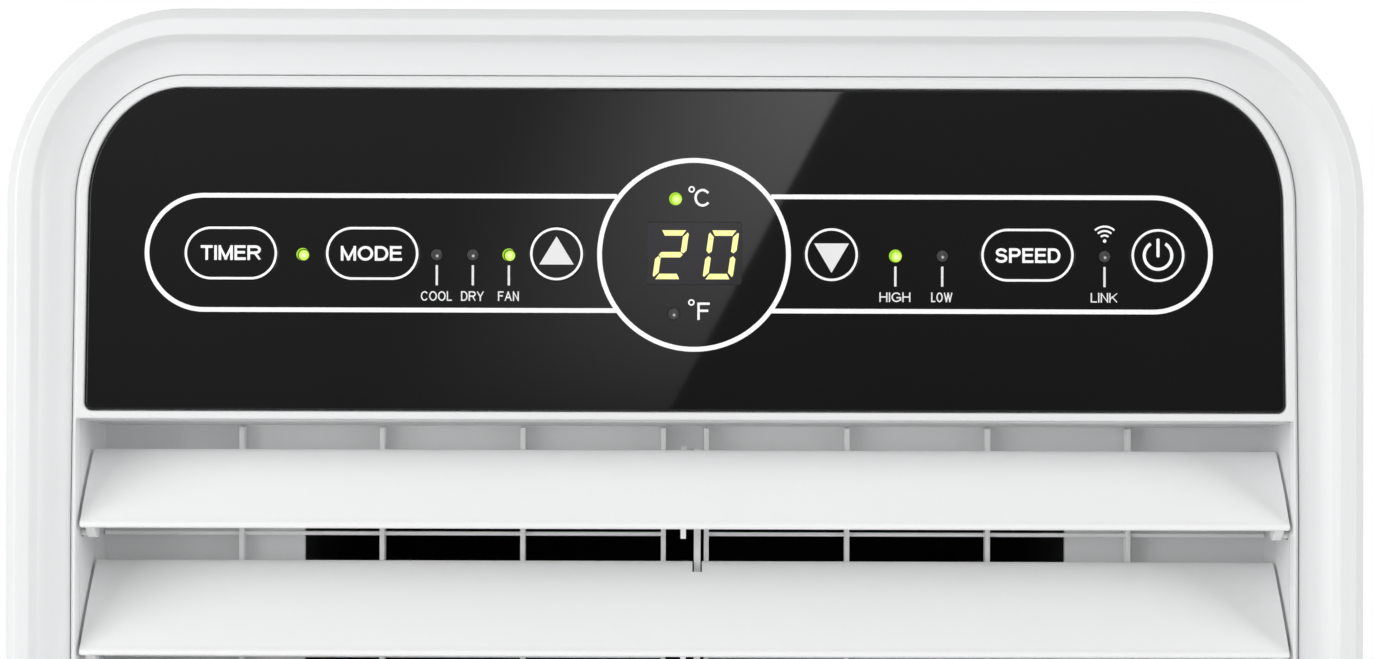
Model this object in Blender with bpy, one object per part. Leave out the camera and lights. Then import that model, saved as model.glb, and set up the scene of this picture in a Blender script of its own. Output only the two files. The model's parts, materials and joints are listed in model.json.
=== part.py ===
"""A portable air conditioner: case, control panel, tilting slats, two air sides, compressor and casters.

The sizes below are in millimetres and the objects are made in metres. +Z is up, the front faces -Y,
and the origin is on the floor under the middle of the case.
"""

import math

import bmesh
import bpy
from mathutils import Vector

MM = 0.001
GAP = 0.3  # between pieces that touch

# Case
WIDTH = 350.0
DEPTH = 340.0
HEIGHT = 700.0
CASE_BOTTOM = 48.0
BOTTOM_RADIUS = 14.0
CORNER_X = 129.2  # centre of each top corner's ellipse
CORNER_Z = 649.7
FLARE = 0.057  # how much an outline widens, for each millimetre of inset, from the corner down to FLARE_Z
FLARE_Z = 570.0
WALL = 2.5
FRONT = -DEPTH / 2
FRAME_BACK = -120.0
REAR_COVER_FRONT = 120.0
REAR_WALL = 158.0
SIDE_TOP = 640.0

# Front surround, bezel and control panel
GROOVE_INSET = 17.3
BEZEL_INSET = 18.2
FLANGE_INSET = 15.8
OVERLAY_INSET = 20.9
BEZEL_FRONT = -166.0
FLANGE_FRONT = -163.6
BEZEL_BACK = -160.9
BEZEL_BOTTOM = 489.8
OVERLAY_FRONT = -165.0
OVERLAY_BACK = -162.6
OVERLAY_BOTTOM = 596.5
KEY_Z = 637.0
LAMP_Z = 636.7
KEY_HEIGHT = 14.0
KEY_WIDTH = 24.2
KEYS = {
    "key_timer": (-117.4, KEY_WIDTH),
    "key_mode": (-80.9, KEY_WIDTH),
    "key_up": (-33.3, KEY_HEIGHT),
    "key_down": (37.7, KEY_HEIGHT),
    "key_speed": (88.3, KEY_WIDTH),
    "key_power": (122.0, KEY_HEIGHT),
}
ROW_LAMPS = (-98.8, -64.2, -54.9, -45.6, 54.2, 66.3, 108.2)
CELSIUS_LAMP = (-2.6, 651.3)
FAHRENHEIT_LAMP = (-3.0, 621.6)
LAMP_RADIUS = 1.5
DISPLAY_X = (-9.8, 14.5)
DISPLAY_Z = (629.1, 645.3)
BOARD_FRONT = -157.4

# Air outlet
VENT_HALF = 157.1
VENT_TOP = 594.2
VENT_BOTTOM = 492.5
VENT_BACK = -127.0
HOUSING_BACK = -125.0
BLOWER_OPENING_HALF = 103.0
BLOWER_OPENING_Z = (508.0, 578.0)
RIB_X = (5.8, 43.7, 81.6, 119.5)
SLAT_HALF = 156.2
SLAT_TILT = math.radians(45)
SLAT_LIPS = {"slat_upper": 565.9, "slat_middle": 532.9, "slat_lower": 499.9}
SLAT_CHORDS = {"slat_upper": 27.6, "slat_middle": 32.4, "slat_lower": 32.4}
SLAT_LIP_Y = -165.0
PIVOT = (4.45, 6.15)  # along the chord from the lip, and behind it
LINK_PIN = (29.8, 3.0)
LINK_X = (2.4, 4.2)

# Upper air side
UPPER_AXIS = (-45.0, 492.0)  # y and z of the blower's axle, which runs along X
UPPER_WHEEL_RADIUS = 58.0
UPPER_WHEEL_HALF = 88.0
UPPER_SCROLL_HALF = 106.0
PARTITION_Z = 403.0
UPPER_INTAKE_Z = (428.0, 640.0)

# Lower air side
LOWER_AXIS = (20.0, 276.0)
LOWER_WHEEL_RADIUS = 54.0
LOWER_WHEEL_HALF = 42.0
LOWER_SCROLL_HALF = 55.0
LOWER_INTAKE_Z = (86.0, 222.0)
EXHAUST_Z = 322.0
EXHAUST_RADIUS = 75.0
INTAKE_HALF = 128.0
TRAY_FLOOR = 55.0
SOCKET_TOP = 68.0
COMPRESSOR = (-108.2, -70.0)
DRAIN_X = -150.0
UPPER_DRAIN_Z = 412.0
LOWER_DRAIN_Z = 66.0
INLET = (140.0, 250.0)
SUCTION_HOLE = (-140.0, 10.0)

# Casters
CASTER_X = 128.0
CASTER_Y = 104.0
CASTER_TRAIL = 12.0
CASTER_RADIUS = 17.0
CASTER_STEPS = 20
AXLE_Z = CASTER_RADIUS * math.cos(math.pi / CASTER_STEPS)  # each wheel rests on one flat

COLOURS = {
    "case_white": ((0.86, 0.87, 0.87), 0.32, 0.0),
    "panel_black": ((0.012, 0.012, 0.013), 0.08, 0.0),
    "lamp_clear": ((0.55, 0.62, 0.40), 0.15, 0.0),
    "display_smoke": ((0.03, 0.03, 0.03), 0.10, 0.0),
    "board_green": ((0.03, 0.16, 0.07), 0.5, 0.0),
    "vent_grey": ((0.55, 0.56, 0.57), 0.5, 0.0),
    "inner_black": ((0.03, 0.03, 0.03), 0.55, 0.0),
    "fin_aluminium": ((0.78, 0.79, 0.80), 0.35, 0.9),
    "steel_grey": ((0.42, 0.43, 0.45), 0.45, 0.8),
    "enamel_black": ((0.02, 0.02, 0.02), 0.35, 0.0),
    "foam_white": ((0.80, 0.80, 0.78), 0.8, 0.0),
    "copper": ((0.72, 0.34, 0.20), 0.3, 1.0),
    "rubber_black": ((0.025, 0.025, 0.025), 0.8, 0.0),
    "filter_grey": ((0.20, 0.21, 0.22), 0.7, 0.0),
    "caster_grey": ((0.08, 0.08, 0.085), 0.45, 0.0),
}


# ---------------------------------------------------------------- outlines


def arc(centre, radii, start, end, steps):
    """Points of an elliptical arc between two angles in degrees, both ends included."""
    points = []
    for step in range(steps + 1):
        angle = math.radians(start + (end - start) * step / steps)
        points.append((centre[0] + radii[0] * math.cos(angle), centre[1] + radii[1] * math.sin(angle)))
    return points


def circle(centre, radius, steps=16):
    return arc(centre, (radius, radius), 0, 360 - 360 / steps, steps - 1)


def rectangle(across, up, radius=0.0, steps=3):
    """A rectangle between two pairs of coordinates, with round corners where a radius is given."""
    (left, right), (low, high) = across, up
    if not radius:
        return [(left, low), (right, low), (right, high), (left, high)]
    radii = (radius, radius)
    return (
        arc((right - radius, low + radius), radii, -90, 0, steps)
        + arc((right - radius, high - radius), radii, 0, 90, steps)
        + arc((left + radius, high - radius), radii, 90, 180, steps)
        + arc((left + radius, low + radius), radii, 180, 270, steps)
    )


def stadium(centre, width, height, steps=6):
    """A shape with two half-round ends, which is a circle where its width is its height."""
    radius = height / 2
    reach = width / 2 - radius
    right = arc((centre[0] + reach, centre[1]), (radius, radius), -90, 90, steps)
    left = arc((centre[0] - reach, centre[1]), (radius, radius), 90, 270, steps)
    if reach == 0:
        return right[:-1] + left[:-1]
    return right + left


def mirrored(points):
    return [(-x, z) for x, z in reversed(points)]


def front_outline(inset, bottom, bottom_radius, steps=6):
    """The case's front outline drawn in by an inset, down to a bottom edge with its own corner radius."""
    half = WIDTH / 2 - inset
    radii = (half - CORNER_X, HEIGHT - CORNER_Z - inset * 0.98)
    reach = (CORNER_Z - max(bottom, FLARE_Z)) / (CORNER_Z - FLARE_Z)
    flared = half + FLARE * inset * reach
    corner = (flared - bottom_radius, bottom + bottom_radius)
    side = arc(corner, (bottom_radius, bottom_radius), -90, 0, 3)
    if bottom < FLARE_Z - 1:
        side.append((flared, FLARE_Z))
    side += arc((CORNER_X, CORNER_Z), radii, 0, 90, steps)
    return side + mirrored(side)


def case_outline(inset):
    return front_outline(inset, CASE_BOTTOM + inset, max(BOTTOM_RADIUS - inset, 2.0))


# ---------------------------------------------------------------- solids


def placed(axis, across, up, along):
    """The point with these coordinates in the plane across an axis and along it."""
    return {"X": (along, across, up), "Y": (across, along, up), "Z": (across, up, along)}[axis]


def add_loft(bm, rings, closed=False):
    """A skin over rings of equally many points, with end caps unless the last ring joins the first."""
    loops = [[bm.verts.new(point) for point in ring] for ring in rings]
    count = len(loops[0])
    pairs = list(zip(loops, loops[1:]))
    if closed:
        pairs.append((loops[-1], loops[0]))
    for first, second in pairs:
        for i in range(count):
            j = (i + 1) % count
            bm.faces.new((first[i], first[j], second[j], second[i]))
    if not closed:
        bm.faces.new(loops[0])
        bm.faces.new(loops[-1])


def add_prism(bm, outline, axis, low, high):
    add_loft(bm, [[placed(axis, u, v, level) for u, v in outline] for level in (low, high)])


def add_box(bm, x, y, z):
    add_prism(bm, rectangle(x, y), "Z", *z)


def add_rod(bm, axis, centre, radius, low, high, steps=12):
    add_prism(bm, circle(centre, radius, steps), axis, low, high)


def add_turned(bm, profile, axis, centre, steps=16):
    """A closed profile of (radius, along) points turned about an axis."""
    rings = []
    for step in range(steps):
        angle = 2 * math.pi * (step + 0.5) / steps
        cosine = math.cos(angle)
        sine = math.sin(angle)
        rings.append(
            [placed(axis, centre[0] + r * cosine, centre[1] + r * sine, along) for r, along in profile]
        )
    add_loft(bm, rings, closed=True)
    bmesh.ops.remove_doubles(bm, verts=bm.verts, dist=0.001)


def add_hull(bm, outline, axis, low, high):
    """The convex shape around an outline's points, extruded along an axis."""
    points = [bm.verts.new(placed(axis, u, v, level)) for level in (low, high) for u, v in outline]
    made = bmesh.ops.convex_hull(bm, input=points)
    spare = [item for item in made["geom_interior"] if isinstance(item, bmesh.types.BMVert)]
    bmesh.ops.delete(bm, geom=spare, context="VERTS")


# ---------------------------------------------------------------- objects


def material(name):
    """A plain Principled material from the table of colours, made once."""
    found = bpy.data.materials.get(name)
    if found:
        return found
    colour, roughness, metallic = COLOURS[name]
    made = bpy.data.materials.new(name)
    made.use_nodes = True
    shader = made.node_tree.nodes["Principled BSDF"]
    shader.inputs["Base Color"].default_value = (*colour, 1.0)
    shader.inputs["Roughness"].default_value = roughness
    shader.inputs["Metallic"].default_value = metallic
    return made


def to_object(name, bm, origin):
    """An object from a mesh in millimetres, with its origin at a point in millimetres."""
    bmesh.ops.recalc_face_normals(bm, faces=bm.faces)
    for vertex in bm.verts:
        vertex.co = (vertex.co - Vector(origin)) * MM
    mesh = bpy.data.meshes.new(name)
    bm.to_mesh(mesh)
    bm.free()
    made = bpy.data.objects.new(name, mesh)
    bpy.context.scene.collection.objects.link(made)
    return made


def make(name, bm, material_name, origin=(0.0, 0.0, 0.0)):
    made = to_object(name, bm, origin)
    made.location = Vector(origin) * MM
    made.data.materials.append(material(material_name))
    made.data.shade_smooth()
    made.data.set_sharp_from_angle(angle=math.radians(32))
    return made


def combine(part, bm, operation):
    """Cuts a mesh from a part, or joins it on; the helper stays hidden and moves with the part."""
    helper = to_object(part.name + "." + operation.lower(), bm, (0.0, 0.0, 0.0))
    helper.parent = part
    helper.location = -part.location
    helper.hide_render = True
    helper.display_type = "WIRE"
    modifier = part.modifiers.new(operation.title(), "BOOLEAN")
    modifier.operation = operation
    modifier.solver = "EXACT"
    modifier.object = helper


def cut(part, bm):
    combine(part, bm, "DIFFERENCE")


def join(part, bm):
    combine(part, bm, "UNION")


def boxes(*spans):
    """A mesh of separate blocks, each given as its x, y and z pairs."""
    bm = bmesh.new()
    for x, y, z in spans:
        add_box(bm, x, y, z)
    return bm


def rods(axis, centres, radius, low, high, steps=12):
    bm = bmesh.new()
    for centre in centres:
        add_rod(bm, axis, centre, radius, low, high, steps)
    return bm


# ---------------------------------------------------------------- case


def front_frame():
    """The surround: a side wall, a chamfer, a flat ridge, a hollow cove and the edge of the shadow groove."""
    profile = (
        (0.0, FRAME_BACK),
        (0.0, FRONT + 3.8),
        (2.4, FRONT),
        (6.2, FRONT),
        (8.1, FRONT + 2.3),
        (11.0, FRONT + 3.8),
        (14.0, FRONT + 4.7),
        (GROOVE_INSET, FRONT + 5.0),
        (GROOVE_INSET, FLANGE_FRONT - GAP),
        (FLANGE_INSET - GAP, FLANGE_FRONT - GAP),
        (FLANGE_INSET - GAP, FRONT + 7.8),
        (10.0, FRONT + 6.5),
        (6.0, FRONT + 3.0),
        (3.6, FRONT + 3.4),
        (2.6, FRONT + 6.0),
        (2.6, FRAME_BACK),
    )
    bm = bmesh.new()
    rings = [[(x, y, z) for x, z in case_outline(inset)] for inset, y in profile]
    add_loft(bm, rings, closed=True)
    make("front_frame", bm, "case_white")


def front_bezel():
    """The inner frame: a ledge for the control overlay above, and the mouth of the air outlet below."""
    bm = bmesh.new()
    add_prism(bm, front_outline(BEZEL_INSET, BEZEL_BOTTOM, 0.8), "Y", BEZEL_FRONT, FLANGE_FRONT + 1)
    bezel = make("front_bezel", bm, "case_white")
    flange = bmesh.new()
    add_prism(flange, front_outline(FLANGE_INSET, BEZEL_BOTTOM + 0.1, 0.8), "Y", FLANGE_FRONT, BEZEL_BACK)
    join(bezel, flange)
    pocket = bmesh.new()
    outline = front_outline(OVERLAY_INSET - GAP, OVERLAY_BOTTOM - GAP, 2.2)
    add_prism(pocket, outline, "Y", BEZEL_FRONT - 1, OVERLAY_BACK + GAP)
    cut(bezel, pocket)
    openings = bmesh.new()
    ledge = 3.5
    outline = front_outline(OVERLAY_INSET + ledge, OVERLAY_BOTTOM + ledge, 3.0)
    add_prism(openings, outline, "Y", BEZEL_FRONT - 2, BEZEL_BACK + 1)
    add_box(openings, (-VENT_HALF, VENT_HALF), (BEZEL_FRONT - 2, BEZEL_BACK + 1), (VENT_BOTTOM, VENT_TOP))
    cut(bezel, openings)


def lower_front_panel():
    half = WIDTH / 2 - BEZEL_INSET + FLARE * BEZEL_INSET
    rim = BEZEL_INSET - FLANGE_INSET
    top = BEZEL_BOTTOM - 0.6
    bottom = CASE_BOTTOM + BEZEL_INSET
    bm = bmesh.new()
    add_prism(bm, rectangle((-half, half), (bottom, top), 2.0), "Y", BEZEL_FRONT, FLANGE_FRONT + 1)
    panel = make("lower_front_panel", bm, "case_white")
    flange = bmesh.new()
    outline = rectangle((-half - rim, half + rim), (bottom - rim, top - 0.1), 2.0)
    add_prism(flange, outline, "Y", FLANGE_FRONT, BEZEL_BACK)
    join(panel, flange)
    hollow_margin = 7.0
    inner = (-half + hollow_margin, half - hollow_margin)
    height = (bottom + hollow_margin, top - hollow_margin)
    cut(panel, boxes((inner, (FLANGE_FRONT + 0.4, BEZEL_BACK + 1), height)))


def hand_grip_outline(margin):
    return rectangle((-45.0 - margin, 45.0 + margin), (560.0 - margin, 596.0 + margin), 10.0 + margin)


def side_panel(name, side):
    """A flat side wall with the opening for its hand grip."""
    edges = sorted((side * (WIDTH / 2 - WALL), side * WIDTH / 2))
    span = (FRAME_BACK + GAP, REAR_COVER_FRONT - GAP)
    panel = make(name, boxes((edges, span, (CASE_BOTTOM + BOTTOM_RADIUS + GAP, SIDE_TOP))), "case_white")
    opening = bmesh.new()
    add_prism(opening, hand_grip_outline(GAP), "X", edges[0] - 1, edges[1] + 1)
    cut(panel, opening)


def hand_grip(name, side):
    """A cup set into the side panel, open outwards, that fingers hook into."""
    depth = 28.0
    wall = 2.0
    mouth = side * (WIDTH / 2 - 0.4)
    bottom = side * (WIDTH / 2 - depth)
    bm = bmesh.new()
    add_prism(bm, hand_grip_outline(0.0), "X", *sorted((mouth, bottom)))
    grip = make(name, bm, "case_white")
    hollow = bmesh.new()
    add_prism(hollow, hand_grip_outline(-wall), "X", *sorted((mouth + side, bottom + side * wall)))
    cut(grip, hollow)


def top_cover():
    """The arch over the case, with its two rounded corners."""
    arch = []
    for inset in (0.0, WALL):
        radii = (WIDTH / 2 - CORNER_X - inset, HEIGHT - CORNER_Z - inset)
        side = [(WIDTH / 2 - inset, SIDE_TOP + GAP)] + arc((CORNER_X, CORNER_Z), radii, 0, 90, 6)
        run = side + mirrored(side)
        arch += run if inset == 0.0 else run[::-1]
    bm = bmesh.new()
    add_prism(bm, arch, "Y", FRAME_BACK + GAP, REAR_COVER_FRONT - GAP)
    make("top_cover", bm, "case_white")


def rear_cover():
    """A dished cover with two intake openings, the exhaust hole, two drain holes and the cord hole."""
    outer = ((0.0, REAR_COVER_FRONT), (0.0, 151.0), (1.2, 155.2), (3.6, 157.4), (6.5, REAR_WALL))
    inner = ((4.5, REAR_WALL - WALL), (WALL, 152.5), (WALL, REAR_COVER_FRONT))
    rings = [[(x, y, z) for x, z in case_outline(inset)] for inset, y in inner + outer]
    bm = bmesh.new()
    add_loft(bm, rings)
    cover = make("rear_cover", bm, "case_white")
    through = (REAR_WALL - 10, REAR_WALL + 10)
    openings = bmesh.new()
    for height in (UPPER_INTAKE_Z, LOWER_INTAKE_Z):
        outline = rectangle((-INTAKE_HALF, INTAKE_HALF), height, 6.0)
        add_prism(openings, outline, "Y", *through)
    add_rod(openings, "Y", (0.0, EXHAUST_Z), EXHAUST_RADIUS + 3.2, *through, 24)
    for z in (UPPER_DRAIN_Z, LOWER_DRAIN_Z):
        add_rod(openings, "Y", (DRAIN_X, z), 8.4, *through)
    add_rod(openings, "Y", INLET, 6.9, *through)
    cut(cover, openings)


def base_tray():
    """The chassis: a pan between the covers, a skirt under the sides, caster sockets and a drain spout."""
    centre = (WIDTH / 2 - BOTTOM_RADIUS, CASE_BOTTOM + BOTTOM_RADIUS)
    corner = arc(centre, (BOTTOM_RADIUS, BOTTOM_RADIUS), -90, 0, 3)
    bm = bmesh.new()
    add_prism(bm, corner + mirrored(corner), "Y", FRAME_BACK + GAP, REAR_COVER_FRONT - GAP)
    tray = make("base_tray", bm, "inner_black")
    pan_radius = BOTTOM_RADIUS - 3.0
    side = arc(centre, (pan_radius, pan_radius), -90, 0, 3)
    side.append((centre[0] + pan_radius, 75.0))
    pan = bmesh.new()
    add_prism(pan, side + mirrored(side), "Y", -156.0, 152.0)
    join(tray, pan)
    cut(tray, boxes(((-169.0, 169.0), (-153.0, 149.0), (TRAY_FLOOR, 80.0))))
    sockets = [(x, y) for x in (-CASTER_X, CASTER_X) for y in (-CASTER_Y, CASTER_Y)]
    fittings = rods("Z", sockets, 9.0, TRAY_FLOOR - 2, SOCKET_TOP)
    add_rod(fittings, "Y", (DRAIN_X, LOWER_DRAIN_Z), 8.0, 150.0, REAR_WALL - 0.5)
    join(tray, fittings)
    bores = rods("Z", sockets, 5.5, CASE_BOTTOM - 1, 64.0)
    add_rod(bores, "Y", (DRAIN_X, LOWER_DRAIN_Z), 5.5, 140.0, REAR_WALL + 1)
    cut(tray, bores)


# ---------------------------------------------------------------- control panel


def lamps():
    return [(x, LAMP_Z) for x in ROW_LAMPS] + [CELSIUS_LAMP, FAHRENHEIT_LAMP]


def control_overlay():
    """The glossy panel, cut out for the keys, the display and the lamps."""
    bm = bmesh.new()
    add_prism(bm, front_outline(OVERLAY_INSET, OVERLAY_BOTTOM, 2.0), "Y", OVERLAY_FRONT, OVERLAY_BACK)
    overlay = make("control_overlay", bm, "panel_black")
    through = (OVERLAY_FRONT - 1, OVERLAY_BACK + 1)
    holes = bmesh.new()
    for x, width in KEYS.values():
        outline = stadium((x, KEY_Z), width + 2 * GAP, KEY_HEIGHT + 2 * GAP)
        add_prism(holes, outline, "Y", *through)
    for centre in lamps():
        add_rod(holes, "Y", centre, LAMP_RADIUS + 0.25, *through, 8)
    display = [(low - GAP, high + GAP) for low, high in (DISPLAY_X, DISPLAY_Z)]
    add_box(holes, display[0], through, display[1])
    cut(overlay, holes)


def key(name, x, width):
    """A key cap flush with the overlay, with a hidden flange that holds it in and a stem to its switch."""
    cap_back = OVERLAY_BACK + 0.6
    flange_back = cap_back + 1.2
    bm = bmesh.new()
    add_prism(bm, stadium((x, KEY_Z), width, KEY_HEIGHT), "Y", OVERLAY_FRONT, cap_back)
    cap = make(name, bm, "panel_black", (x, OVERLAY_FRONT, KEY_Z))
    flange = bmesh.new()
    add_prism(flange, stadium((x, KEY_Z), width + 2, KEY_HEIGHT + 2), "Y", cap_back - 0.2, flange_back)
    join(cap, flange)
    join(cap, rods("Y", [(x, KEY_Z)], 2.5, flange_back - 0.5, BOARD_FRONT - 0.8))


def light_guide():
    """One clear moulding behind the overlay, with a round tip for each lamp."""
    bar = ((ROW_LAMPS[0] - 1.6, ROW_LAMPS[-1] + 1.6), (-161.6, -160.2), (647.0, 650.0))
    guide = make("light_guide", boxes(bar), "lamp_clear")
    branch_y = (-161.5, -160.3)
    drops = [((x - 1.55, x + 1.55), branch_y, (LAMP_Z - 1.0, 648.5)) for x in ROW_LAMPS]
    detour_x = -14.5
    drops.append(((detour_x - 1.6, detour_x + 1.6), branch_y, (FAHRENHEIT_LAMP[1] - 1.6, 648.5)))
    drops.append(((CELSIUS_LAMP[0] - 1.55, CELSIUS_LAMP[0] + 1.55), branch_y, (648.5, 651.5)))
    join(guide, boxes(*drops))
    foot_z = (FAHRENHEIT_LAMP[1] - 1.5, FAHRENHEIT_LAMP[1] + 1.5)
    join(guide, boxes(((detour_x, FAHRENHEIT_LAMP[0] + 1.4), (-161.4, -160.4), foot_z)))
    join(guide, rods("Y", lamps(), LAMP_RADIUS, OVERLAY_FRONT - 0.1, -160.7, 8))


def digit_display():
    make("digit_display", boxes((DISPLAY_X, (OVERLAY_FRONT + 0.1, -158.6), DISPLAY_Z)), "display_smoke")


def control_board():
    board = boxes(((-136.0, 136.0), (BOARD_FRONT, BOARD_FRONT + 1.6), (612.0, 662.0)))
    made = make("control_board", board, "board_green")
    corners = [(x, z) for x in (-131.0, 131.0) for z in (616.5, 657.5)]
    cut(made, rods("Y", corners, 1.7, BOARD_FRONT - 1, BOARD_FRONT + 3, 10))


# ---------------------------------------------------------------- air outlet


def slat_point(lip_z, along, behind, turn=SLAT_TILT):
    """The (y, z) of a point given along a slat's chord from its lip and behind the chord."""
    y = SLAT_LIP_Y + along * math.sin(turn) + behind * math.cos(turn)
    z = lip_z + along * math.cos(turn) - behind * math.sin(turn)
    return y, z


def vent_housing():
    """A recess with a sloping roof; its back wall holds the blower opening, its sides the slats' pivots."""
    outer = ((-VENT_HALF - 2.1, VENT_HALF + 2.1), (BEZEL_BACK + GAP, HOUSING_BACK), (489.0, 597.6))
    housing = make("vent_housing", boxes(outer), "vent_grey")
    mouth_y = BEZEL_BACK - 1
    mouth = rectangle((-VENT_HALF, VENT_HALF), (VENT_BOTTOM, VENT_TOP - 0.3))
    back = rectangle((-VENT_HALF + 0.15, VENT_HALF - 0.15), (VENT_BOTTOM + 1.5, VENT_TOP - 2.9))
    recess = bmesh.new()
    add_loft(recess, [[(x, mouth_y, z) for x, z in mouth], [(x, VENT_BACK, z) for x, z in back]])
    cut(housing, recess)
    holes = rods("X", [slat_point(lip, *PIVOT) for lip in SLAT_LIPS.values()], 1.7, -165.0, 165.0, 12)
    opening_x = (-BLOWER_OPENING_HALF, BLOWER_OPENING_HALF)
    add_box(holes, opening_x, (VENT_BACK - 3, HOUSING_BACK + 3), BLOWER_OPENING_Z)
    cut(housing, holes)


def vent_guard():
    """Upright ribs in front of the blower opening, held by a foot rail and thin cross bars."""
    ribs = []
    for x in [-x for x in RIB_X] + list(RIB_X):
        ribs.append(((x - 0.65, x + 0.65), (-132.0, VENT_BACK - GAP), (495.4, 591.0)))
    rail = ((-RIB_X[-1] - 0.9, RIB_X[-1] + 0.9), (-131.0, VENT_BACK - GAP - 0.3), (495.0, 497.8))
    guard = make("vent_guard", boxes(rail), "case_white")
    join(guard, boxes(*ribs))
    bars = []
    for z in (529.3, 562.3):
        for side in (-1, 1):
            ends = sorted((side * (RIB_X[0] + 0.1), side * (VENT_HALF - 0.6)))
            bars.append((ends, (-130.6, -128.4), (z - 0.5, z + 0.5)))
    join(guard, boxes(*bars))


def slat(name):
    """A tilted blade with a rolled lip, pivot lugs and pins at its ends, and the link's lug in its middle."""
    lip_z = SLAT_LIPS[name]
    chord = SLAT_CHORDS[name]

    def section(points):
        return [slat_point(lip_z, along, behind) for along, behind in points]

    blade = (
        (0.0, 0.7),
        (0.0, -0.7),
        (0.7, -1.3),
        (2.2, -1.2),
        (chord * 0.5, -1.7),
        (chord - 1.2, -1.0),
        (chord, -0.3),
        (chord, 0.3),
        (chord - 1.2, 0.8),
        (chord * 0.5, 0.4),
        (2.2, 0.9),
        (0.7, 1.3),
    )
    pivot = slat_point(lip_z, *PIVOT)
    bm = bmesh.new()
    add_prism(bm, section(blade), "X", -SLAT_HALF, SLAT_HALF)
    made = make(name, bm, "case_white", (0.0, *pivot))
    lugs = bmesh.new()
    pivot_lug = section([(1.6, -0.2), (8.5, -0.2)] + arc(PIVOT, (1.7, 1.7), 0, 180, 6))
    for x in ((-155.4, -153.0), (-1.1, 0.3), (153.0, 155.4)):
        add_hull(lugs, pivot_lug, "X", *x)
    join(made, lugs)
    link_lug = bmesh.new()
    tip = min(chord, LINK_PIN[0] + 1.7) - 0.9
    add_hull(link_lug, section([(tip - 5.0, -0.2), (tip, -0.2)] + circle(LINK_PIN, 2.0, 10)), "X", -1.0, 0.5)
    join(made, link_lug)
    join(made, rods("X", [pivot], 1.2, 154.0, SLAT_HALF + 2.4, 10))
    join(made, rods("X", [pivot], 1.2, -SLAT_HALF - 2.4, -154.0, 10))
    cut(made, rods("X", [slat_point(lip_z, *LINK_PIN)], 1.2, -2.0, 1.5, 10))
    if chord > LINK_PIN[0]:
        notch = bmesh.new()
        corners = [(27.7, -3.0), (chord + 1, -3.0), (chord + 1, 3.0), (27.7, 3.0)]
        add_prism(notch, section(corners), "X", LINK_X[0] - 0.8, LINK_X[1] + 0.8)
        cut(made, notch)


def slat_link():
    """The upright rod behind the slats, with a pin through each slat's lug."""
    pins = [slat_point(lip, *LINK_PIN) for lip in SLAT_LIPS.values()]
    top = pins[0]
    bottom = pins[-1]
    rod = boxes((LINK_X, (top[0] - 1.0, top[0] + 1.0), (bottom[1] - 1.8, top[1] + 1.8)))
    link = make("slat_link", rod, "case_white", (0.0, *top))
    join(link, rods("X", pins, 0.8, -1.0, LINK_X[0] + 0.5, 8))


# ---------------------------------------------------------------- blowers


def scroll_outline(axis, radii, outlet_y, tongue_z, start, turn, margin):
    """A volute's side view: a spiral of 270 degrees that opens into a straight outlet."""
    steps = 12
    points = []
    for step in range(steps + 1):
        angle = math.radians(start + turn * 270 * step / steps)
        radius = radii[0] + (radii[1] - radii[0]) * step / steps + margin
        points.append((axis[0] + radius * math.cos(angle), axis[1] + radius * math.sin(angle)))
    points.append((outlet_y, axis[1] + radii[1] + margin))
    points.append((outlet_y, tongue_z - margin))
    points.append((points[0][0], tongue_z - margin))
    return points


def scroll(name, axis, radii, half, outlet_y, tongue_z, start, turn, inlet_radius):
    """A hollow volute with a round inlet in each side and an open outlet."""
    wall = 2.0
    reach = math.copysign(3.0, outlet_y)
    bm = bmesh.new()
    add_prism(bm, scroll_outline(axis, radii, outlet_y, tongue_z, start, turn, wall), "X", -half, half)
    made = make(name, bm, "inner_black")
    inside = bmesh.new()
    outline = scroll_outline(axis, radii, outlet_y + reach, tongue_z, start, turn, 0.0)
    add_prism(inside, outline, "X", -half + wall, half - wall)
    cut(made, inside)
    cut(made, rods("X", [axis], inlet_radius, -half - 1, half + 1, 20))


def blower_wheel(name, axis, radius, half, blades):
    """A drum of slanted blades between two rims, on a hub plate in the middle."""
    rim_width = 5.0
    rim_depth = 9.0
    centre = axis
    bm = bmesh.new()
    for side in (-1, 1):
        along = sorted((side * half, side * (half - rim_width)))
        inner = radius - rim_depth
        add_turned(
            bm, [(inner, along[0]), (radius, along[0]), (radius, along[1]), (inner, along[1])], "X", centre
        )
    plate = [(4.6, -9.0), (11.0, -9.0), (11.0, -1.2), (radius - 1, -1.2), (radius - 1, 1.2), (11.0, 1.2)]
    add_turned(bm, plate + [(11.0, 9.0), (4.6, 9.0)], "X", centre)
    wheel = make(name, bm, "inner_black", (0.0, *axis))
    vanes = bmesh.new()
    slant = math.radians(22)
    for step in range(blades):
        angle = 2 * math.pi * (step + 0.5) / blades
        ends = []
        for reach, offset in ((radius - rim_depth + 1.2, 0.0), (radius - 1.6, slant)):
            for edge in (-0.018, 0.018):
                turned = angle + offset * (reach / radius - 0.7) + edge
                ends.append((centre[0] + reach * math.cos(turned), centre[1] + reach * math.sin(turned)))
        outline = [ends[0], ends[1], ends[3], ends[2]]
        add_prism(vanes, outline, "X", -half + 1.5, half - 1.5)
    join(wheel, vanes)


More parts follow.
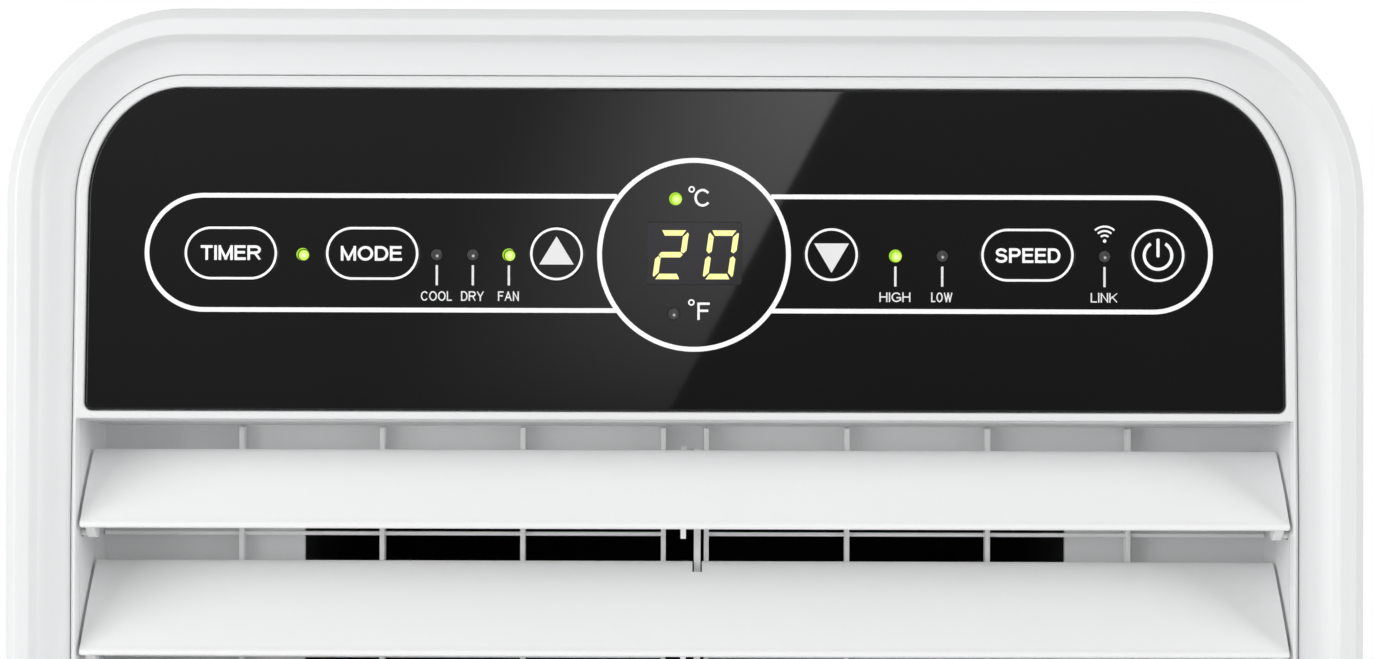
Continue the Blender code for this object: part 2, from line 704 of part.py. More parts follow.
def fan_motor(name, axis, radius, near, far, shaft_end, bracket_x, bracket_reach):
    """A motor can beside the scroll, its shaft through the wheel's hub, on a strap across the inlet."""
    can = [
        (0.0, near),
        (radius - 4, near),
        (radius, near + 4),
        (radius, far - 4),
        (radius - 4, far),
        (0.0, far),
    ]
    bm = bmesh.new()
    add_turned(bm, can, "X", axis, 20)
    motor = make(name, bm, "steel_grey")
    strap_z = (axis[1] - bracket_reach, axis[1] + bracket_reach)
    join(motor, boxes((bracket_x, (axis[0] - 9.0, axis[0] + 9.0), strap_z)))
    join(motor, rods("X", [axis], 4.0, shaft_end, near + 5, 12))


def upper_air_side():
    scroll("upper_scroll", UPPER_AXIS, (62.0, 86.0), UPPER_SCROLL_HALF, HOUSING_BACK + GAP, 509.0, 180, 1, 50.0)
    blower_wheel("upper_blower_wheel", UPPER_AXIS, UPPER_WHEEL_RADIUS, UPPER_WHEEL_HALF, 14)
    fan_motor("upper_fan_motor", UPPER_AXIS, 36.0, 113.0, 152.0, -20.0, (107.0, 115.0), 62.0)


def lower_air_side():
    scroll("lower_scroll", LOWER_AXIS, (58.0, 82.0), LOWER_SCROLL_HALF, 145.0, 286.0, 0, -1, 46.0)
    blower_wheel("lower_blower_wheel", LOWER_AXIS, LOWER_WHEEL_RADIUS, LOWER_WHEEL_HALF, 12)
    fan_motor("lower_fan_motor", LOWER_AXIS, 36.0, 62.0, 104.0, -20.0, (56.0, 64.0), 58.0)


# ---------------------------------------------------------------- heat exchangers and compressor


def coil(name, y, z, bends):
    """A finned block with end plates and the return bends of its tubes."""
    half = 120.0
    core = boxes(((-half, half), y, z))
    made = make(name, core, "fin_aluminium")
    plates = []
    for side in (-1, 1):
        x = sorted((side * (half - 0.5), side * (half + 1.5)))
        plates.append((x, (y[0] - 1.0, y[1] + 1.0), (z[0] + 0.5, z[1] - 0.5)))
    join(made, boxes(*plates))
    tubes = bmesh.new()
    middle = (y[0] + y[1]) / 2
    pitch = (z[1] - z[0]) / bends
    for step in range(bends):
        centre_z = z[0] + pitch * (step + 0.5)
        rings = []
        for turn in range(6):
            angle = math.pi * turn / 5
            reach = 8.0
            x = half - 3.0 + (reach + 6.0) * math.sin(angle)
            tube_z = centre_z - reach * math.cos(angle)
            normal = Vector((math.sin(angle), 0.0, -math.cos(angle)))
            ring = []
            for part in range(5):
                around = 2 * math.pi * part / 5
                point = Vector((x, middle, tube_z)) + 3.2 * math.cos(around) * normal
                ring.append((point.x, middle + 3.2 * math.sin(around), point.z))
            rings.append(ring)
        add_loft(tubes, rings)
    join(made, tubes)


def compressor():
    """A welded can with domed ends on a three-footed base plate."""
    wall = [(52.5, 100.0), (52.5, 222.0), (50.0, 236.0), (42.0, 245.0), (25.0, 249.5), (0.0, 250.0)]
    floor = [(0.0, 77.0), (42.0, 78.5), (50.0, 87.0)]
    bm = bmesh.new()
    add_turned(bm, floor + wall, "Z", COMPRESSOR, 24)
    made = make("compressor", bm, "enamel_black")
    plate = bmesh.new()
    outline = []
    for centre in compressor_feet():
        outline += circle(centre, 11.0, 12)
    add_hull(plate, outline, "Z", 75.0, 78.8)
    join(made, plate)


def compressor_feet():
    return arc(COMPRESSOR, (56.0, 56.0), 90, 330, 2)


def compressor_grommets():
    profile = ((0.0, 55.3), (9.0, 55.3), (9.0, 60.0), (7.0, 63.0), (9.0, 66.0), (9.0, 74.7), (0.0, 74.7))
    for number, centre in enumerate(compressor_feet(), 1):
        bm = bmesh.new()
        add_turned(bm, profile, "Z", centre, 12)
        make(f"compressor_grommet_{number}", bm, "rubber_black")


def pipe(name, radius, route):
    """A copper tube along a smooth curve through a few points."""
    smooth = [Vector(point) for point in route]
    points = []
    for i in range(len(smooth) - 1):
        before = smooth[max(i - 1, 0)]
        after = smooth[min(i + 2, len(smooth) - 1)]
        for step in range(3):
            t = step / 3
            p1, p2 = smooth[i], smooth[i + 1]
            bend = (2 * before - 5 * p1 + 4 * p2 - after) * t * t
            twist = (3 * p1 - before - 3 * p2 + after) * t * t * t
            points.append(p1 + ((p2 - before) * t + bend + twist) / 2)
    points.append(smooth[-1])
    curve = bpy.data.curves.new(name, "CURVE")
    curve.dimensions = "3D"
    curve.bevel_depth = radius * MM
    curve.bevel_resolution = 1
    curve.use_fill_caps = True
    spline = curve.splines.new("POLY")
    spline.points.add(len(points) - 1)
    for target, point in zip(spline.points, points):
        target.co = (*(point * MM), 1.0)
    made = bpy.data.objects.new(name, curve)
    made.data.materials.append(material("copper"))
    bpy.context.scene.collection.objects.link(made)


def pipes():
    x, y = COMPRESSOR
    pipe(
        "discharge_pipe",
        3.5,
        ((x, y, 251.3), (x, y, 262.0), (x - 12, y + 25, 282.0), (-155.0, 10.0, 288.0), (-154.0, 90.0, 262.0),
         (-150.0, 128.0, 225.0), (-137.0, 129.0, 208.5), (-122.5, 129.0, 208.0)),
    )
    hole_x, hole_y = SUCTION_HOLE
    pipe(
        "suction_pipe",
        4.5,
        ((x, y + 53.2, 200.0), (x - 2, y + 66, 201.0), (x - 18, y + 76, 220.0), (hole_x, hole_y, 280.0),
         (hole_x, hole_y, 360.0), (hole_x, hole_y, 430.0), (-143.0, 30.0, 500.0), (-146.0, 90.0, 552.0),
         (-140.0, 121.0, 560.0), (-122.5, 122.0, 560.0)),
    )


def partition_tray():
    """The deck between the two air sides, which catches condensate and drains at the back."""
    block = ((-171.0, 171.0), (-123.0, 151.0), (PARTITION_Z, 416.0))
    tray = make("partition_tray", boxes(block), "foam_white")
    cut(tray, boxes(((-168.5, 168.5), (-120.5, 148.5), (PARTITION_Z + WALL, 420.0))))
    join(tray, rods("Y", [(DRAIN_X, UPPER_DRAIN_Z)], 8.0, 149.5, REAR_WALL - 0.5))
    cut(tray, rods("Y", [(DRAIN_X, UPPER_DRAIN_Z)], 5.5, 140.0, REAR_WALL + 1))
    cut(tray, rods("Z", [SUCTION_HOLE], 7.0, PARTITION_Z - 2, 422.0))


# ---------------------------------------------------------------- electrics


def electrical_box():
    outer = ((66.0, 160.0), (-142.0, -80.0), (SOCKET_TOP + GAP, 225.0))
    made = make("electrical_box", boxes(outer), "steel_grey")
    cut(made, boxes(((67.5, 158.5), (-145.0, -81.5), (SOCKET_TOP + 2, 223.5))))


def main_board():
    board = make("main_board", boxes(((72.0, 154.0), (-95.0, -93.4), (73.0, 212.0))), "board_green")
    parts = (
        ((80.0, 104.0), (-118.0, -94.5), (90.0, 118.0)),
        ((118.0, 146.0), (-112.0, -94.5), (84.0, 100.0)),
        ((84.0, 100.0), (-108.0, -94.5), (150.0, 166.0)),
        ((114.0, 144.0), (-124.0, -94.5), (160.0, 192.0)),
    )
    join(board, boxes(*parts))
    posts = rods("Y", [(x, z) for x in (78.0, 148.0) for z in (79.0, 206.0)], 2.5, -94.0, -82.0, 8)
    join(board, posts)


def run_capacitor():
    can = ((0.0, TRAY_FLOOR + GAP), (18.0, TRAY_FLOOR + GAP), (19.0, 57.0), (19.0, 118.0), (17.0, 121.0))
    bm = bmesh.new()
    add_turned(bm, [*can, (5.0, 121.0), (5.0, 128.0), (0.0, 128.0)], "Z", (30.0, -105.0), 20)
    make("run_capacitor", bm, "steel_grey")


# ---------------------------------------------------------------- rear fittings


def intake_grille(name, height, rows):
    """A flat louvred panel that fills an intake opening."""
    low, high = height
    half = INTAKE_HALF - 0.4
    bm = bmesh.new()
    add_prism(bm, rectangle((-half, half), (low + 0.4, high - 0.4), 5.6), "Y", 154.4, REAR_WALL + 0.6)
    made = make(name, bm, "case_white", (0.0, REAR_WALL, (low + high) / 2))
    border = 9.0
    pitch = (high - low - 2 * border) / rows
    slots = []
    for row in range(rows):
        z = low + border + pitch * (row + 0.5)
        for x in ((-118.0, -3.0), (3.0, 118.0)):
            slots.append((x, (150.0, REAR_WALL + 5), (z - pitch * 0.28, z + pitch * 0.28)))
    cut(made, boxes(*slots))


def intake_filter(name, height):
    """A mesh panel in a thin frame, behind the grille."""
    low, high = height
    low += 8.0
    high -= 8.0
    half = 118.0
    sheet = ((-half + 2, half - 2), (150.6, 151.4), (low + 2, high - 2))
    made = make(name, boxes(sheet), "filter_grey", (0.0, REAR_WALL, (low + high) / 2))
    border = 6.0
    rims = bmesh.new()
    corners = ((-half, low), (half, low), (half, high), (-half, high))
    frame = (148.8, 153.6)
    rings = []
    for y, inset in ((frame[0], 0), (frame[1], 0), (frame[1], border), (frame[0], border)):
        ring = []
        for x, z in corners:
            ring.append((x - math.copysign(inset, x), y, z + (inset if z == low else -inset)))
        rings.append(ring)
    add_loft(rims, rings, closed=True)
    join(made, rims)
    middle = (low + high) / 2
    bars = [((x - 1.5, x + 1.5), (149.4, 153.0), (low + 3, high - 3)) for x in (-40.0, 40.0)]
    join(made, boxes(*bars))
    join(made, boxes(((-half + 3, half - 3), (149.6, 152.8), (middle - 1.5, middle + 1.5))))


def exhaust_collar():
    """The round outlet that a hose pushes onto, with a back plate around the scroll's outlet."""
    outer = EXHAUST_RADIUS
    inner = outer - 3.0
    profile = (
        (inner, DEPTH / 2),
        (outer, DEPTH / 2),
        (outer, REAR_WALL + 2.3),
        (outer + 9, REAR_WALL + 2.3),
        (outer + 9, REAR_WALL + GAP),
        (outer + 2, REAR_WALL + GAP),
        (outer + 2, 147.0),
        (0.0, 147.0),
        (0.0, 149.0),
        (inner, 149.0),
    )
    bm = bmesh.new()
    add_turned(bm, profile, "Y", (0.0, EXHAUST_Z), 24)
    collar = make("exhaust_collar", bm, "case_white")
    cut(collar, boxes(((-52.0, 52.0), (143.0, 151.0), (287.0, 357.0))))


def drain_plug(name, z):
    profile = (
        (0.0, 152.0),
        (5.0, 152.0),
        (5.0, REAR_WALL + 0.6),
        (11.0, REAR_WALL + 0.6),
        (11.0, REAR_WALL + 3.0),
        (9.5, REAR_WALL + 4.2),
        (0.0, REAR_WALL + 4.2),
    )
    bm = bmesh.new()
    add_turned(bm, profile, "Y", (DRAIN_X, z), 16)
    plug = make(name, bm, "rubber_black", (DRAIN_X, REAR_WALL, z))
    tab = ((DRAIN_X - 1.5, DRAIN_X + 1.5), (REAR_WALL + 3.5, REAR_WALL + 8.0), (z - 6.0, z + 6.0))
    join(plug, boxes(tab))


def cord_inlet():
    """The bushing that a mains cord would come out of."""
    profile = (
        (3.6, 150.0),
        (6.5, 150.0),
        (6.5, REAR_WALL + GAP),
        (10.0, REAR_WALL + GAP),
        (9.0, REAR_WALL + 4.0),
        (3.6, REAR_WALL + 4.0),
    )
    bm = bmesh.new()
    add_turned(bm, profile, "Y", INLET, 16)
    make("cord_inlet", bm, "rubber_black")


# ---------------------------------------------------------------- casters


def caster(corner, x, y):
    """A swivelling fork with its stem in the tray's socket, and the wheel on its axle."""
    axle = (y + CASTER_TRAIL, AXLE_Z)
    bm = bmesh.new()
    add_turned(bm, ((0.0, 43.5), (13.0, 43.5), (13.0, 46.5), (11.5, 47.7), (0.0, 47.7)), "Z", (x, y), 14)
    fork = make("caster_fork_" + corner, bm, "caster_grey", (x, y, CASE_BOTTOM))
    cheeks = bmesh.new()
    outline = [(y - 9.0, 45.0), (y + 9.0, 45.0), (y - 9.0, 40.0)] + circle(axle, 5.0, 8)
    for side in (-1, 1):
        add_hull(cheeks, outline, "X", *sorted((x + side * 8.8, x + side * 10.8)))
    join(fork, cheeks)
    join(fork, rods("Z", [(x, y)], 5.0, 45.5, 62.0, 8))
    join(fork, rods("X", [axle], 2.5, x - 9.5, x + 9.5, 8))
    half = 8.2
    radius = CASTER_RADIUS
    profile = [(3.0, half), (3.0, -half), (radius - 2.5, -half), (radius, -half + 2.5)]
    profile += [(radius, half - 2.5), (radius - 2.5, half)]
    rings = []
    for step in range(CASTER_STEPS):
        angle = 2 * math.pi * (step + 0.5) / CASTER_STEPS
        cosine = math.cos(angle)
        sine = math.sin(angle)
        rings.append([(x + along, axle[0] + r * cosine, axle[1] + r * sine) for r, along in profile])
    wheel = bmesh.new()
    add_loft(wheel, rings, closed=True)
    made = make("caster_wheel_" + corner, wheel, "rubber_black", (x, *axle))
    made.parent = fork
    made.location = Vector((0.0, axle[0] - y, axle[1] - CASE_BOTTOM)) * MM


# ---------------------------------------------------------------- the whole


def clear_scene():
    for item in list(bpy.data.objects):
        bpy.data.objects.remove(item, do_unlink=True)


def main():
    clear_scene()
    front_frame()
    front_bezel()
    lower_front_panel()
    side_panel("left_side_panel", -1)
    side_panel("right_side_panel", 1)
    hand_grip("left_hand_grip", -1)
    hand_grip("right_hand_grip", 1)
    top_cover()
    rear_cover()
    base_tray()
    control_overlay()
    for name, (x, width) in KEYS.items():
        key(name, x, width)
    light_guide()
    digit_display()
    control_board()
    vent_housing()
    vent_guard()
    for name in SLAT_LIPS:
        slat(name)
    slat_link()
    upper_air_side()
    lower_air_side()
    coil("evaporator", (100.0, 145.0), (PARTITION_Z + WALL + GAP, 634.0), 4)
    coil("condenser", (112.0, 145.0), (TRAY_FLOOR + GAP, 232.0), 3)
    compressor()
    compressor_grommets()
    pipes()
    partition_tray()
    electrical_box()
    main_board()
    run_capacitor()
    intake_grille("upper_intake_grille", UPPER_INTAKE_Z, 12)
    intake_grille("lower_intake_grille", LOWER_INTAKE_Z, 7)
    intake_filter("upper_filter", UPPER_INTAKE_Z)
    intake_filter("lower_filter", LOWER_INTAKE_Z)
    exhaust_collar()
    drain_plug("upper_drain_plug", UPPER_DRAIN_Z)
    drain_plug("lower_drain_plug", LOWER_DRAIN_Z)
    cord_inlet()
    caster("front_left", -CASTER_X, -CASTER_Y)
    caster("front_right", CASTER_X, -CASTER_Y)
    caster("rear_left", -CASTER_X, CASTER_Y)
    caster("rear_right", CASTER_X, CASTER_Y)


main()
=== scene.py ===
"""Looks of the portable air conditioner: fine surfaces, printed panel, materials, light and camera.

Lengths are in millimetres, unless a name ends in _M, and meshes are made in metres.
+Z is up and the front faces -Y, as in the CAD frame.
"""

import json
import math

import bmesh
import bpy
from mathutils import Matrix, Vector

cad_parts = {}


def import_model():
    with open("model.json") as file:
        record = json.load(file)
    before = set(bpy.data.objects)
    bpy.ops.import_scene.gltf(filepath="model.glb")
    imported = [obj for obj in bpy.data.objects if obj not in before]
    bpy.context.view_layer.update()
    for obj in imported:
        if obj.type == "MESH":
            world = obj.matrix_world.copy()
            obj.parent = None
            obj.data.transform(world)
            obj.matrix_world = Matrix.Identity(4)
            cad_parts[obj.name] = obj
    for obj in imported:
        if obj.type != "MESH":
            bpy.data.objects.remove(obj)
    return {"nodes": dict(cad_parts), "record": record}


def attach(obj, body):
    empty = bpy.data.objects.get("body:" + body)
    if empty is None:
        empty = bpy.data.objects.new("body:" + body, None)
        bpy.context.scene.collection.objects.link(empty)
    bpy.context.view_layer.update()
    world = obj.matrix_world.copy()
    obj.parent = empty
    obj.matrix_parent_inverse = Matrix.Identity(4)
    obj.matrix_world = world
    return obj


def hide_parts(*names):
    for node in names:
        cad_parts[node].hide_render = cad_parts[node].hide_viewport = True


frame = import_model()
nodes = frame["nodes"]
for spare in ("Cube", "Light", "Camera"):
    if bpy.data.objects.get(spare):
        bpy.data.objects.remove(bpy.data.objects[spare], do_unlink=True)
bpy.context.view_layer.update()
scene = bpy.context.scene

MM = 0.001
GAP = 0.3

# Case
WIDTH = 350.0
HEIGHT = 700.0
FRONT = -170.0
CASE_BOTTOM = 48.0
BOTTOM_RADIUS = 14.0
WALL = 2.5
CORNER_X = 129.2
CORNER_Z = 649.7
FLARE = 0.057
FLARE_Z = 570.0
FRAME_BACK = -120.0
REAR_COVER_FRONT = 120.0
REAR_WALL = 158.0
SIDE_TOP = 640.0
CORNER_STEPS = 24

# Panel
GROOVE_INSET = 17.3
COVE_START = 9.0
COVE_END = 16.9
BEZEL_INSET = 18.2
FLANGE_INSET = 15.8
OVERLAY_INSET = 20.9
BEZEL_FRONT = -166.0
FLANGE_FRONT = -163.6
BEZEL_BACK = -160.9
BEZEL_BOTTOM = 489.8
OVERLAY_FRONT = -165.0
OVERLAY_BACK = -162.6
OVERLAY_BOTTOM = 596.5
BOARD_FRONT = -157.4
KEY_Z = 637.0
LAMP_Z = 636.7
KEY_HEIGHT = 14.0
KEY_WIDTH = 24.2
KEYS = {
    "timer": (-117.4, KEY_WIDTH),
    "mode": (-80.9, KEY_WIDTH),
    "up": (-33.3, KEY_HEIGHT),
    "down": (37.7, KEY_HEIGHT),
    "speed": (88.3, KEY_WIDTH),
    "power": (122.0, KEY_HEIGHT),
}
LAMPS = {
    "timer": (-98.8, LAMP_Z, True),
    "cool": (-64.2, LAMP_Z, False),
    "dry": (-54.9, LAMP_Z, False),
    "fan": (-45.6, LAMP_Z, True),
    "high": (54.2, LAMP_Z, True),
    "low": (66.3, LAMP_Z, False),
    "link": (108.2, LAMP_Z, False),
    "celsius": (-2.6, 651.3, True),
    "fahrenheit": (-3.0, 621.6, False),
}
LAMP_RADIUS = 1.5
DISPLAY_X = (-9.8, 14.5)
DISPLAY_Z = (629.1, 645.3)

# Air outlet
VENT_HALF = 157.1
VENT_TOP = 594.2
VENT_BOTTOM = 492.5
VENT_BACK = -127.0
RIB_X = (5.8, 43.7, 81.6, 119.5)
SLAT_HALF = 156.2
SLAT_TILT = math.radians(45)
SLAT_LIP_Y = -165.0
SLATS = {"upper": (565.9, 27.6), "middle": (532.9, 32.4), "lower": (499.9, 32.4)}
PIVOT = (4.45, 6.15)
LINK_PIN = (29.8, 3.0)
LINK_X = (2.4, 4.2)

# Back
INTAKE_HALF = 128.0
UPPER_INTAKE_Z = (428.0, 640.0)
LOWER_INTAKE_Z = (86.0, 222.0)
EXHAUST_Z = 322.0
EXHAUST_RADIUS = 75.0
DRAINS = {"upper": (-150.0, 412.0), "lower": (-150.0, 66.0)}
INLET = (140.0, 250.0)
SCREWS = [(x, z) for x in (-150.0, 150.0) for z in (100.0, 330.0, 650.0)] + [(0.0, 66.0), (0.0, 666.0)]
SCREW_SEAT = REAR_WALL - 1.4

# Casters
CASTERS = {
    f"{end}_{side}": (x, y)
    for end, y in (("front", -104.0), ("rear", 104.0))
    for side, x in (("left", -128.0), ("right", 128.0))
}
CASTER_TRAIL = 12.0
AXLE_Z = 17.0 * math.cos(math.pi / 20)


# ---- camera, light and floor


def camera():
    data = bpy.data.cameras.new("view")
    made = bpy.data.objects.new("view", data)
    scene.collection.objects.link(made)
    data.sensor_width = 36.0
    data.lens = 76.61
    data.clip_start = 0.05
    data.clip_end = 50.0
    place = Matrix.Translation((0.00044, -0.92, 0.61757))
    level = Matrix.Rotation(math.pi / 2, 4, "X")
    roll = Matrix.Rotation(math.radians(0.16), 4, "Z")
    made.matrix_world = place @ level @ roll
    scene.camera = made


def area_light(name, place, target, size, power):
    data = bpy.data.lights.new(name, "AREA")
    data.shape = "RECTANGLE"
    data.size, data.size_y = size
    data.energy = power
    made = bpy.data.objects.new(name, data)
    scene.collection.objects.link(made)
    made.location = place
    made.rotation_euler = (Vector(target) - Vector(place)).to_track_quat("-Z", "Y").to_euler()
    made.visible_camera = False


def lights():
    middle = (0.0, 0.0, 0.45)
    face = (0.0, -0.17, 0.60)
    area_light("key_left", (-2.45, -1.45, 1.15), face, (1.2, 1.7), 33.0)
    area_light("key_right", (2.5, -1.4, 1.15), face, (1.2, 1.7), 36.0)
    area_light("near_left", (-0.95, -1.25, 0.78), (-0.12, -0.17, 0.62), (0.5, 0.7), 4.4)
    area_light("overhead", (0.0, 0.3, 3.0), middle, (2.6, 2.2), 5.0)
    area_light("rear_left", (-1.3, 2.9, 1.5), middle, (1.6, 1.8), 24.0)
    area_light("rear_right", (1.5, 2.8, 1.3), middle, (1.6, 1.6), 17.0)


def world():
    """White behind the object, and a softer, dimmer surround for its light and reflections."""
    made = bpy.data.worlds.new("studio")
    scene.world = made
    made.use_nodes = True
    tree = made.node_tree
    tree.nodes.clear()
    white = (1.0, 1.0, 1.0, 1.0)
    seen = add_node(tree, "LightPath").outputs["Is Camera Ray"]
    around = add_node(tree, "Background", {"Color": white, "Strength": 0.46}).outputs[0]
    behind = add_node(tree, "Background", {"Color": white, "Strength": 1.0}).outputs[0]
    mix = add_node(tree, "MixShader", {0: seen, 1: around, 2: behind})
    add_node(tree, "OutputWorld", {"Surface": mix.outputs[0]})


def staged(name, corners, look):
    mesh = bpy.data.meshes.new(name)
    mesh.from_pydata(corners, [], [tuple(range(len(corners)))])
    made = bpy.data.objects.new(name, mesh)
    mesh.materials.append(look)
    scene.collection.objects.link(made)
    return made


def floor():
    """A round pale floor that fades out at its edge."""
    look, tree, shader, place = principled("floor_pale", (0.80, 0.80, 0.80), 0.7)
    faded = mapped(tree, distance(tree, place, (0.0, 0.0, 0.0)), 0.7, 2.5, interpolation_type="SMOOTHSTEP")
    clear = add_node(tree, "BsdfTransparent").outputs[0]
    mix = add_node(tree, "MixShader", {0: faded, 1: shader.outputs[0], 2: clear})
    tree.links.new(mix.outputs[0], tree.nodes["Material Output"].inputs["Surface"])
    staged("floor", [(x, y, 0.0) for x, y in circle((0.0, 0.0), 2.6, 96)], look)


def reflection_card():
    """A card that only reflections see: it puts the slanting sheen on the glossy panel."""
    look = bpy.data.materials.new("card_glow")
    look.use_nodes = True
    tree = look.node_tree
    tree.nodes.clear()
    place = add_node(tree, "TexCoord").outputs["Object"]
    edge_low = Vector((-0.0214, 0.0, 0.517))
    edge_high = Vector((0.190, 0.0, 0.914))
    along = (edge_high - edge_low).normalized()
    left = Vector((-along.z, 0.0, along.x))
    offset = add_node(tree, "VectorMath", {0: place, 1: edge_low}, operation="SUBTRACT").outputs[0]
    away = add_node(tree, "VectorMath", {0: offset, 1: left}, operation="DOT_PRODUCT").outputs["Value"]
    height = add_node(tree, "SeparateXYZ", {0: offset}).outputs["Z"]
    top = 0.39
    falling = mapped(tree, away, -0.03, 0.37, 1.0, 0.0, interpolation_type="SMOOTHSTEP")
    rising = mapped(tree, height, 0.0, top, 0.17, 1.75)
    bright = add_node(tree, "Math", {0: falling, 1: rising}, operation="MULTIPLY").outputs[0]
    faint_left = mapped(tree, height, 0.0, top, 0.20, 0.34)
    faint_right = mapped(tree, height, 0.0, top, 0.13, 0.22)
    base = add_node(tree, "Math", {0: bright, 1: faint_left}, operation="ADD").outputs[0]
    side = mapped(tree, away, -0.001, 0.001)
    strength = add_node(tree, "Mix", {0: side, 2: faint_right, 3: base}, data_type="FLOAT").outputs[0]
    glow = add_node(tree, "Emission", {"Strength": strength}).outputs[0]
    add_node(tree, "OutputMaterial", {"Surface": glow})
    card = staged("card", [(x, 0.0, z) for x, z in rectangle((-1.3, 1.3), (0.1, 1.6))], look)
    card.location = (0.0, -3.0, 0.0)
    for ray in ("camera", "diffuse", "shadow", "transmission", "volume_scatter"):
        setattr(card, "visible_" + ray, False)


# ---- materials


def add_node(tree, kind, inputs=None, **settings):
    made = tree.nodes.new("ShaderNode" + kind)
    for key, value in settings.items():
        setattr(made, key, value)
    for key, value in (inputs or {}).items():
        if isinstance(value, bpy.types.NodeSocket):
            tree.links.new(value, made.inputs[key])
        else:
            made.inputs[key].default_value = value
    return made


def principled(name, colour, roughness, metallic=0.0):
    look = bpy.data.materials.new(name)
    look.use_nodes = True
    tree = look.node_tree
    shader = tree.nodes["Principled BSDF"]
    shader.inputs["Base Color"].default_value = (*colour, 1.0)
    shader.inputs["Roughness"].default_value = roughness
    shader.inputs["Metallic"].default_value = metallic
    return look, tree, shader, add_node(tree, "TexCoord").outputs["Object"]


def noise(tree, place, scale, detail):
    return add_node(tree, "TexNoise", {"Vector": place, "Scale": scale, "Detail": detail}).outputs["Fac"]


def mapped(tree, value, low, high, start=0.0, end=1.0, **settings):
    return add_node(tree, "MapRange", {0: value, 1: low, 2: high, 3: start, 4: end}, **settings).outputs[0]


def distance(tree, place, centre):
    offset = add_node(tree, "VectorMath", {0: place, 1: centre}, operation="SUBTRACT").outputs[0]
    return add_node(tree, "VectorMath", {0: offset}, operation="LENGTH").outputs["Value"]


def ramp(tree, value, *stops):
    """Colours along a value, as stops of a position and a colour."""
    made = add_node(tree, "ValToRGB", {0: value})
    marks = made.color_ramp.elements
    while len(marks) < len(stops):
        marks.new(1.0)
    for mark, (position, colour) in zip(marks, stops):
        mark.position = position
        mark.color = (*colour, 1.0)
    return made.outputs[0]


def varied(tree, shader, place, colour, roughness, drift, spread, scale):
    """Lets the colour and the roughness drift a little over the surface."""
    slow = noise(tree, place, scale, 3.0)
    dark = [c * (1 - drift) for c in colour]
    light = [min(c * (1 + drift), 1.0) for c in colour]
    tree.links.new(ramp(tree, slow, (0.3, dark), (0.7, light)), shader.inputs["Base Color"])
    rough = mapped(tree, slow, 0.3, 0.7, roughness - spread, roughness + spread)
    tree.links.new(rough, shader.inputs["Roughness"])


def bumped(tree, shader, height, strength, distance_mm):
    bump = add_node(tree, "Bump", {"Height": height, "Strength": strength, "Distance": distance_mm * MM})
    tree.links.new(bump.outputs[0], shader.inputs["Normal"])


def moulded(name, colour, roughness, grain_mm, depth_mm, drift=0.02, spread=0.03, metallic=0.0):
    """A moulded or cast surface: a fine even grain over a slow drift of colour and gloss."""
    look, tree, shader, place = principled(name, colour, roughness, metallic)
    varied(tree, shader, place, colour, roughness, drift, spread, 14.0)
    bumped(tree, shader, noise(tree, place, 1000.0 / grain_mm, 3.0), 0.6, depth_mm)
    return look


def ridges(tree, place, axis, ridge_mm):
    scale = math.pi / 20 / (ridge_mm * MM)
    return add_node(tree, "TexWave", {"Vector": place, "Scale": scale}, bands_direction=axis).outputs["Fac"]


def striped(name, colour, roughness, axis, ridge_mm, depth_mm, metallic):
    """Thin parallel ridges, as on pressed fins."""
    look, tree, shader, place = principled(name, colour, roughness, metallic)
    varied(tree, shader, place, colour, roughness, 0.06, 0.06, 20.0)
    bumped(tree, shader, ridges(tree, place, axis, ridge_mm), 1.0, depth_mm)
    return look


def woven(name, colour, roughness, thread_mm):
    """A plain net: two sets of threads at right angles."""
    look, tree, shader, place = principled(name, colour, roughness)
    across, up = (ridges(tree, place, axis, thread_mm) for axis in "XZ")
    height = add_node(tree, "Math", {0: across, 1: up}, operation="MAXIMUM").outputs[0]
    gap_colour = (0.006, 0.006, 0.007)
    tree.links.new(ramp(tree, height, (0.45, gap_colour), (0.75, colour)), shader.inputs["Base Color"])
    bumped(tree, shader, height, 0.8, 0.25)
    return look


def lamp_look(name, crescent):
    """A small lens lit from behind, palest a little below its middle. Its object's origin is its centre."""
    look, tree, shader, place = principled(name, (0.02, 0.03, 0.01), 0.12)
    share = mapped(tree, distance(tree, place, (0.00028, 0.0, -0.0002)), 0.0, 0.002)
    shade = (0.02, 0.05, 0.0) if crescent else (0.34, 0.68, 0.01)
    stops = [(0.15, (0.95, 1.0, 0.55)), (0.45, (0.72, 1.0, 0.16)), (0.66, (0.55, 0.93, 0.05))]
    stops += [(0.69, shade), (0.79, shade), (0.82, (0.42, 0.80, 0.02))]
    tree.links.new(ramp(tree, share, *stops), shader.inputs["Emission Color"])
    shader.inputs["Emission Strength"].default_value = 0.95
    return look


def dark_lamp_look():
    """An unlit lens with a pale spot painted a little below its middle: a painted highlight. Its object's
    origin is its centre.
    """
    look, tree, shader, place = principled("lamp_unlit_painted_highlight", (0.05, 0.05, 0.05), 0.14)
    share = mapped(tree, distance(tree, place, (0.0001, 0.0, -0.0003)), 0.0, 0.001)
    # painted highlight: the pale spot on the dark lens stands in for a glint of light
    shades = ramp(tree, share, (0.18, (0.62, 0.62, 0.62)), (0.5, (0.05, 0.05, 0.05)))
    tree.links.new(shades, shader.inputs["Base Color"])
    return look


def segment_look():
    look, tree, shader, place = principled("segment_glow", (0.1, 0.1, 0.03), 0.4)
    shades = ramp(tree, noise(tree, place, 900.0, 1.0), (0.0, (0.93, 0.92, 0.33)), (1.0, (1.0, 1.0, 0.45)))
    tree.links.new(shades, shader.inputs["Emission Color"])
    shader.inputs["Emission Strength"].default_value = 1.0
    return look


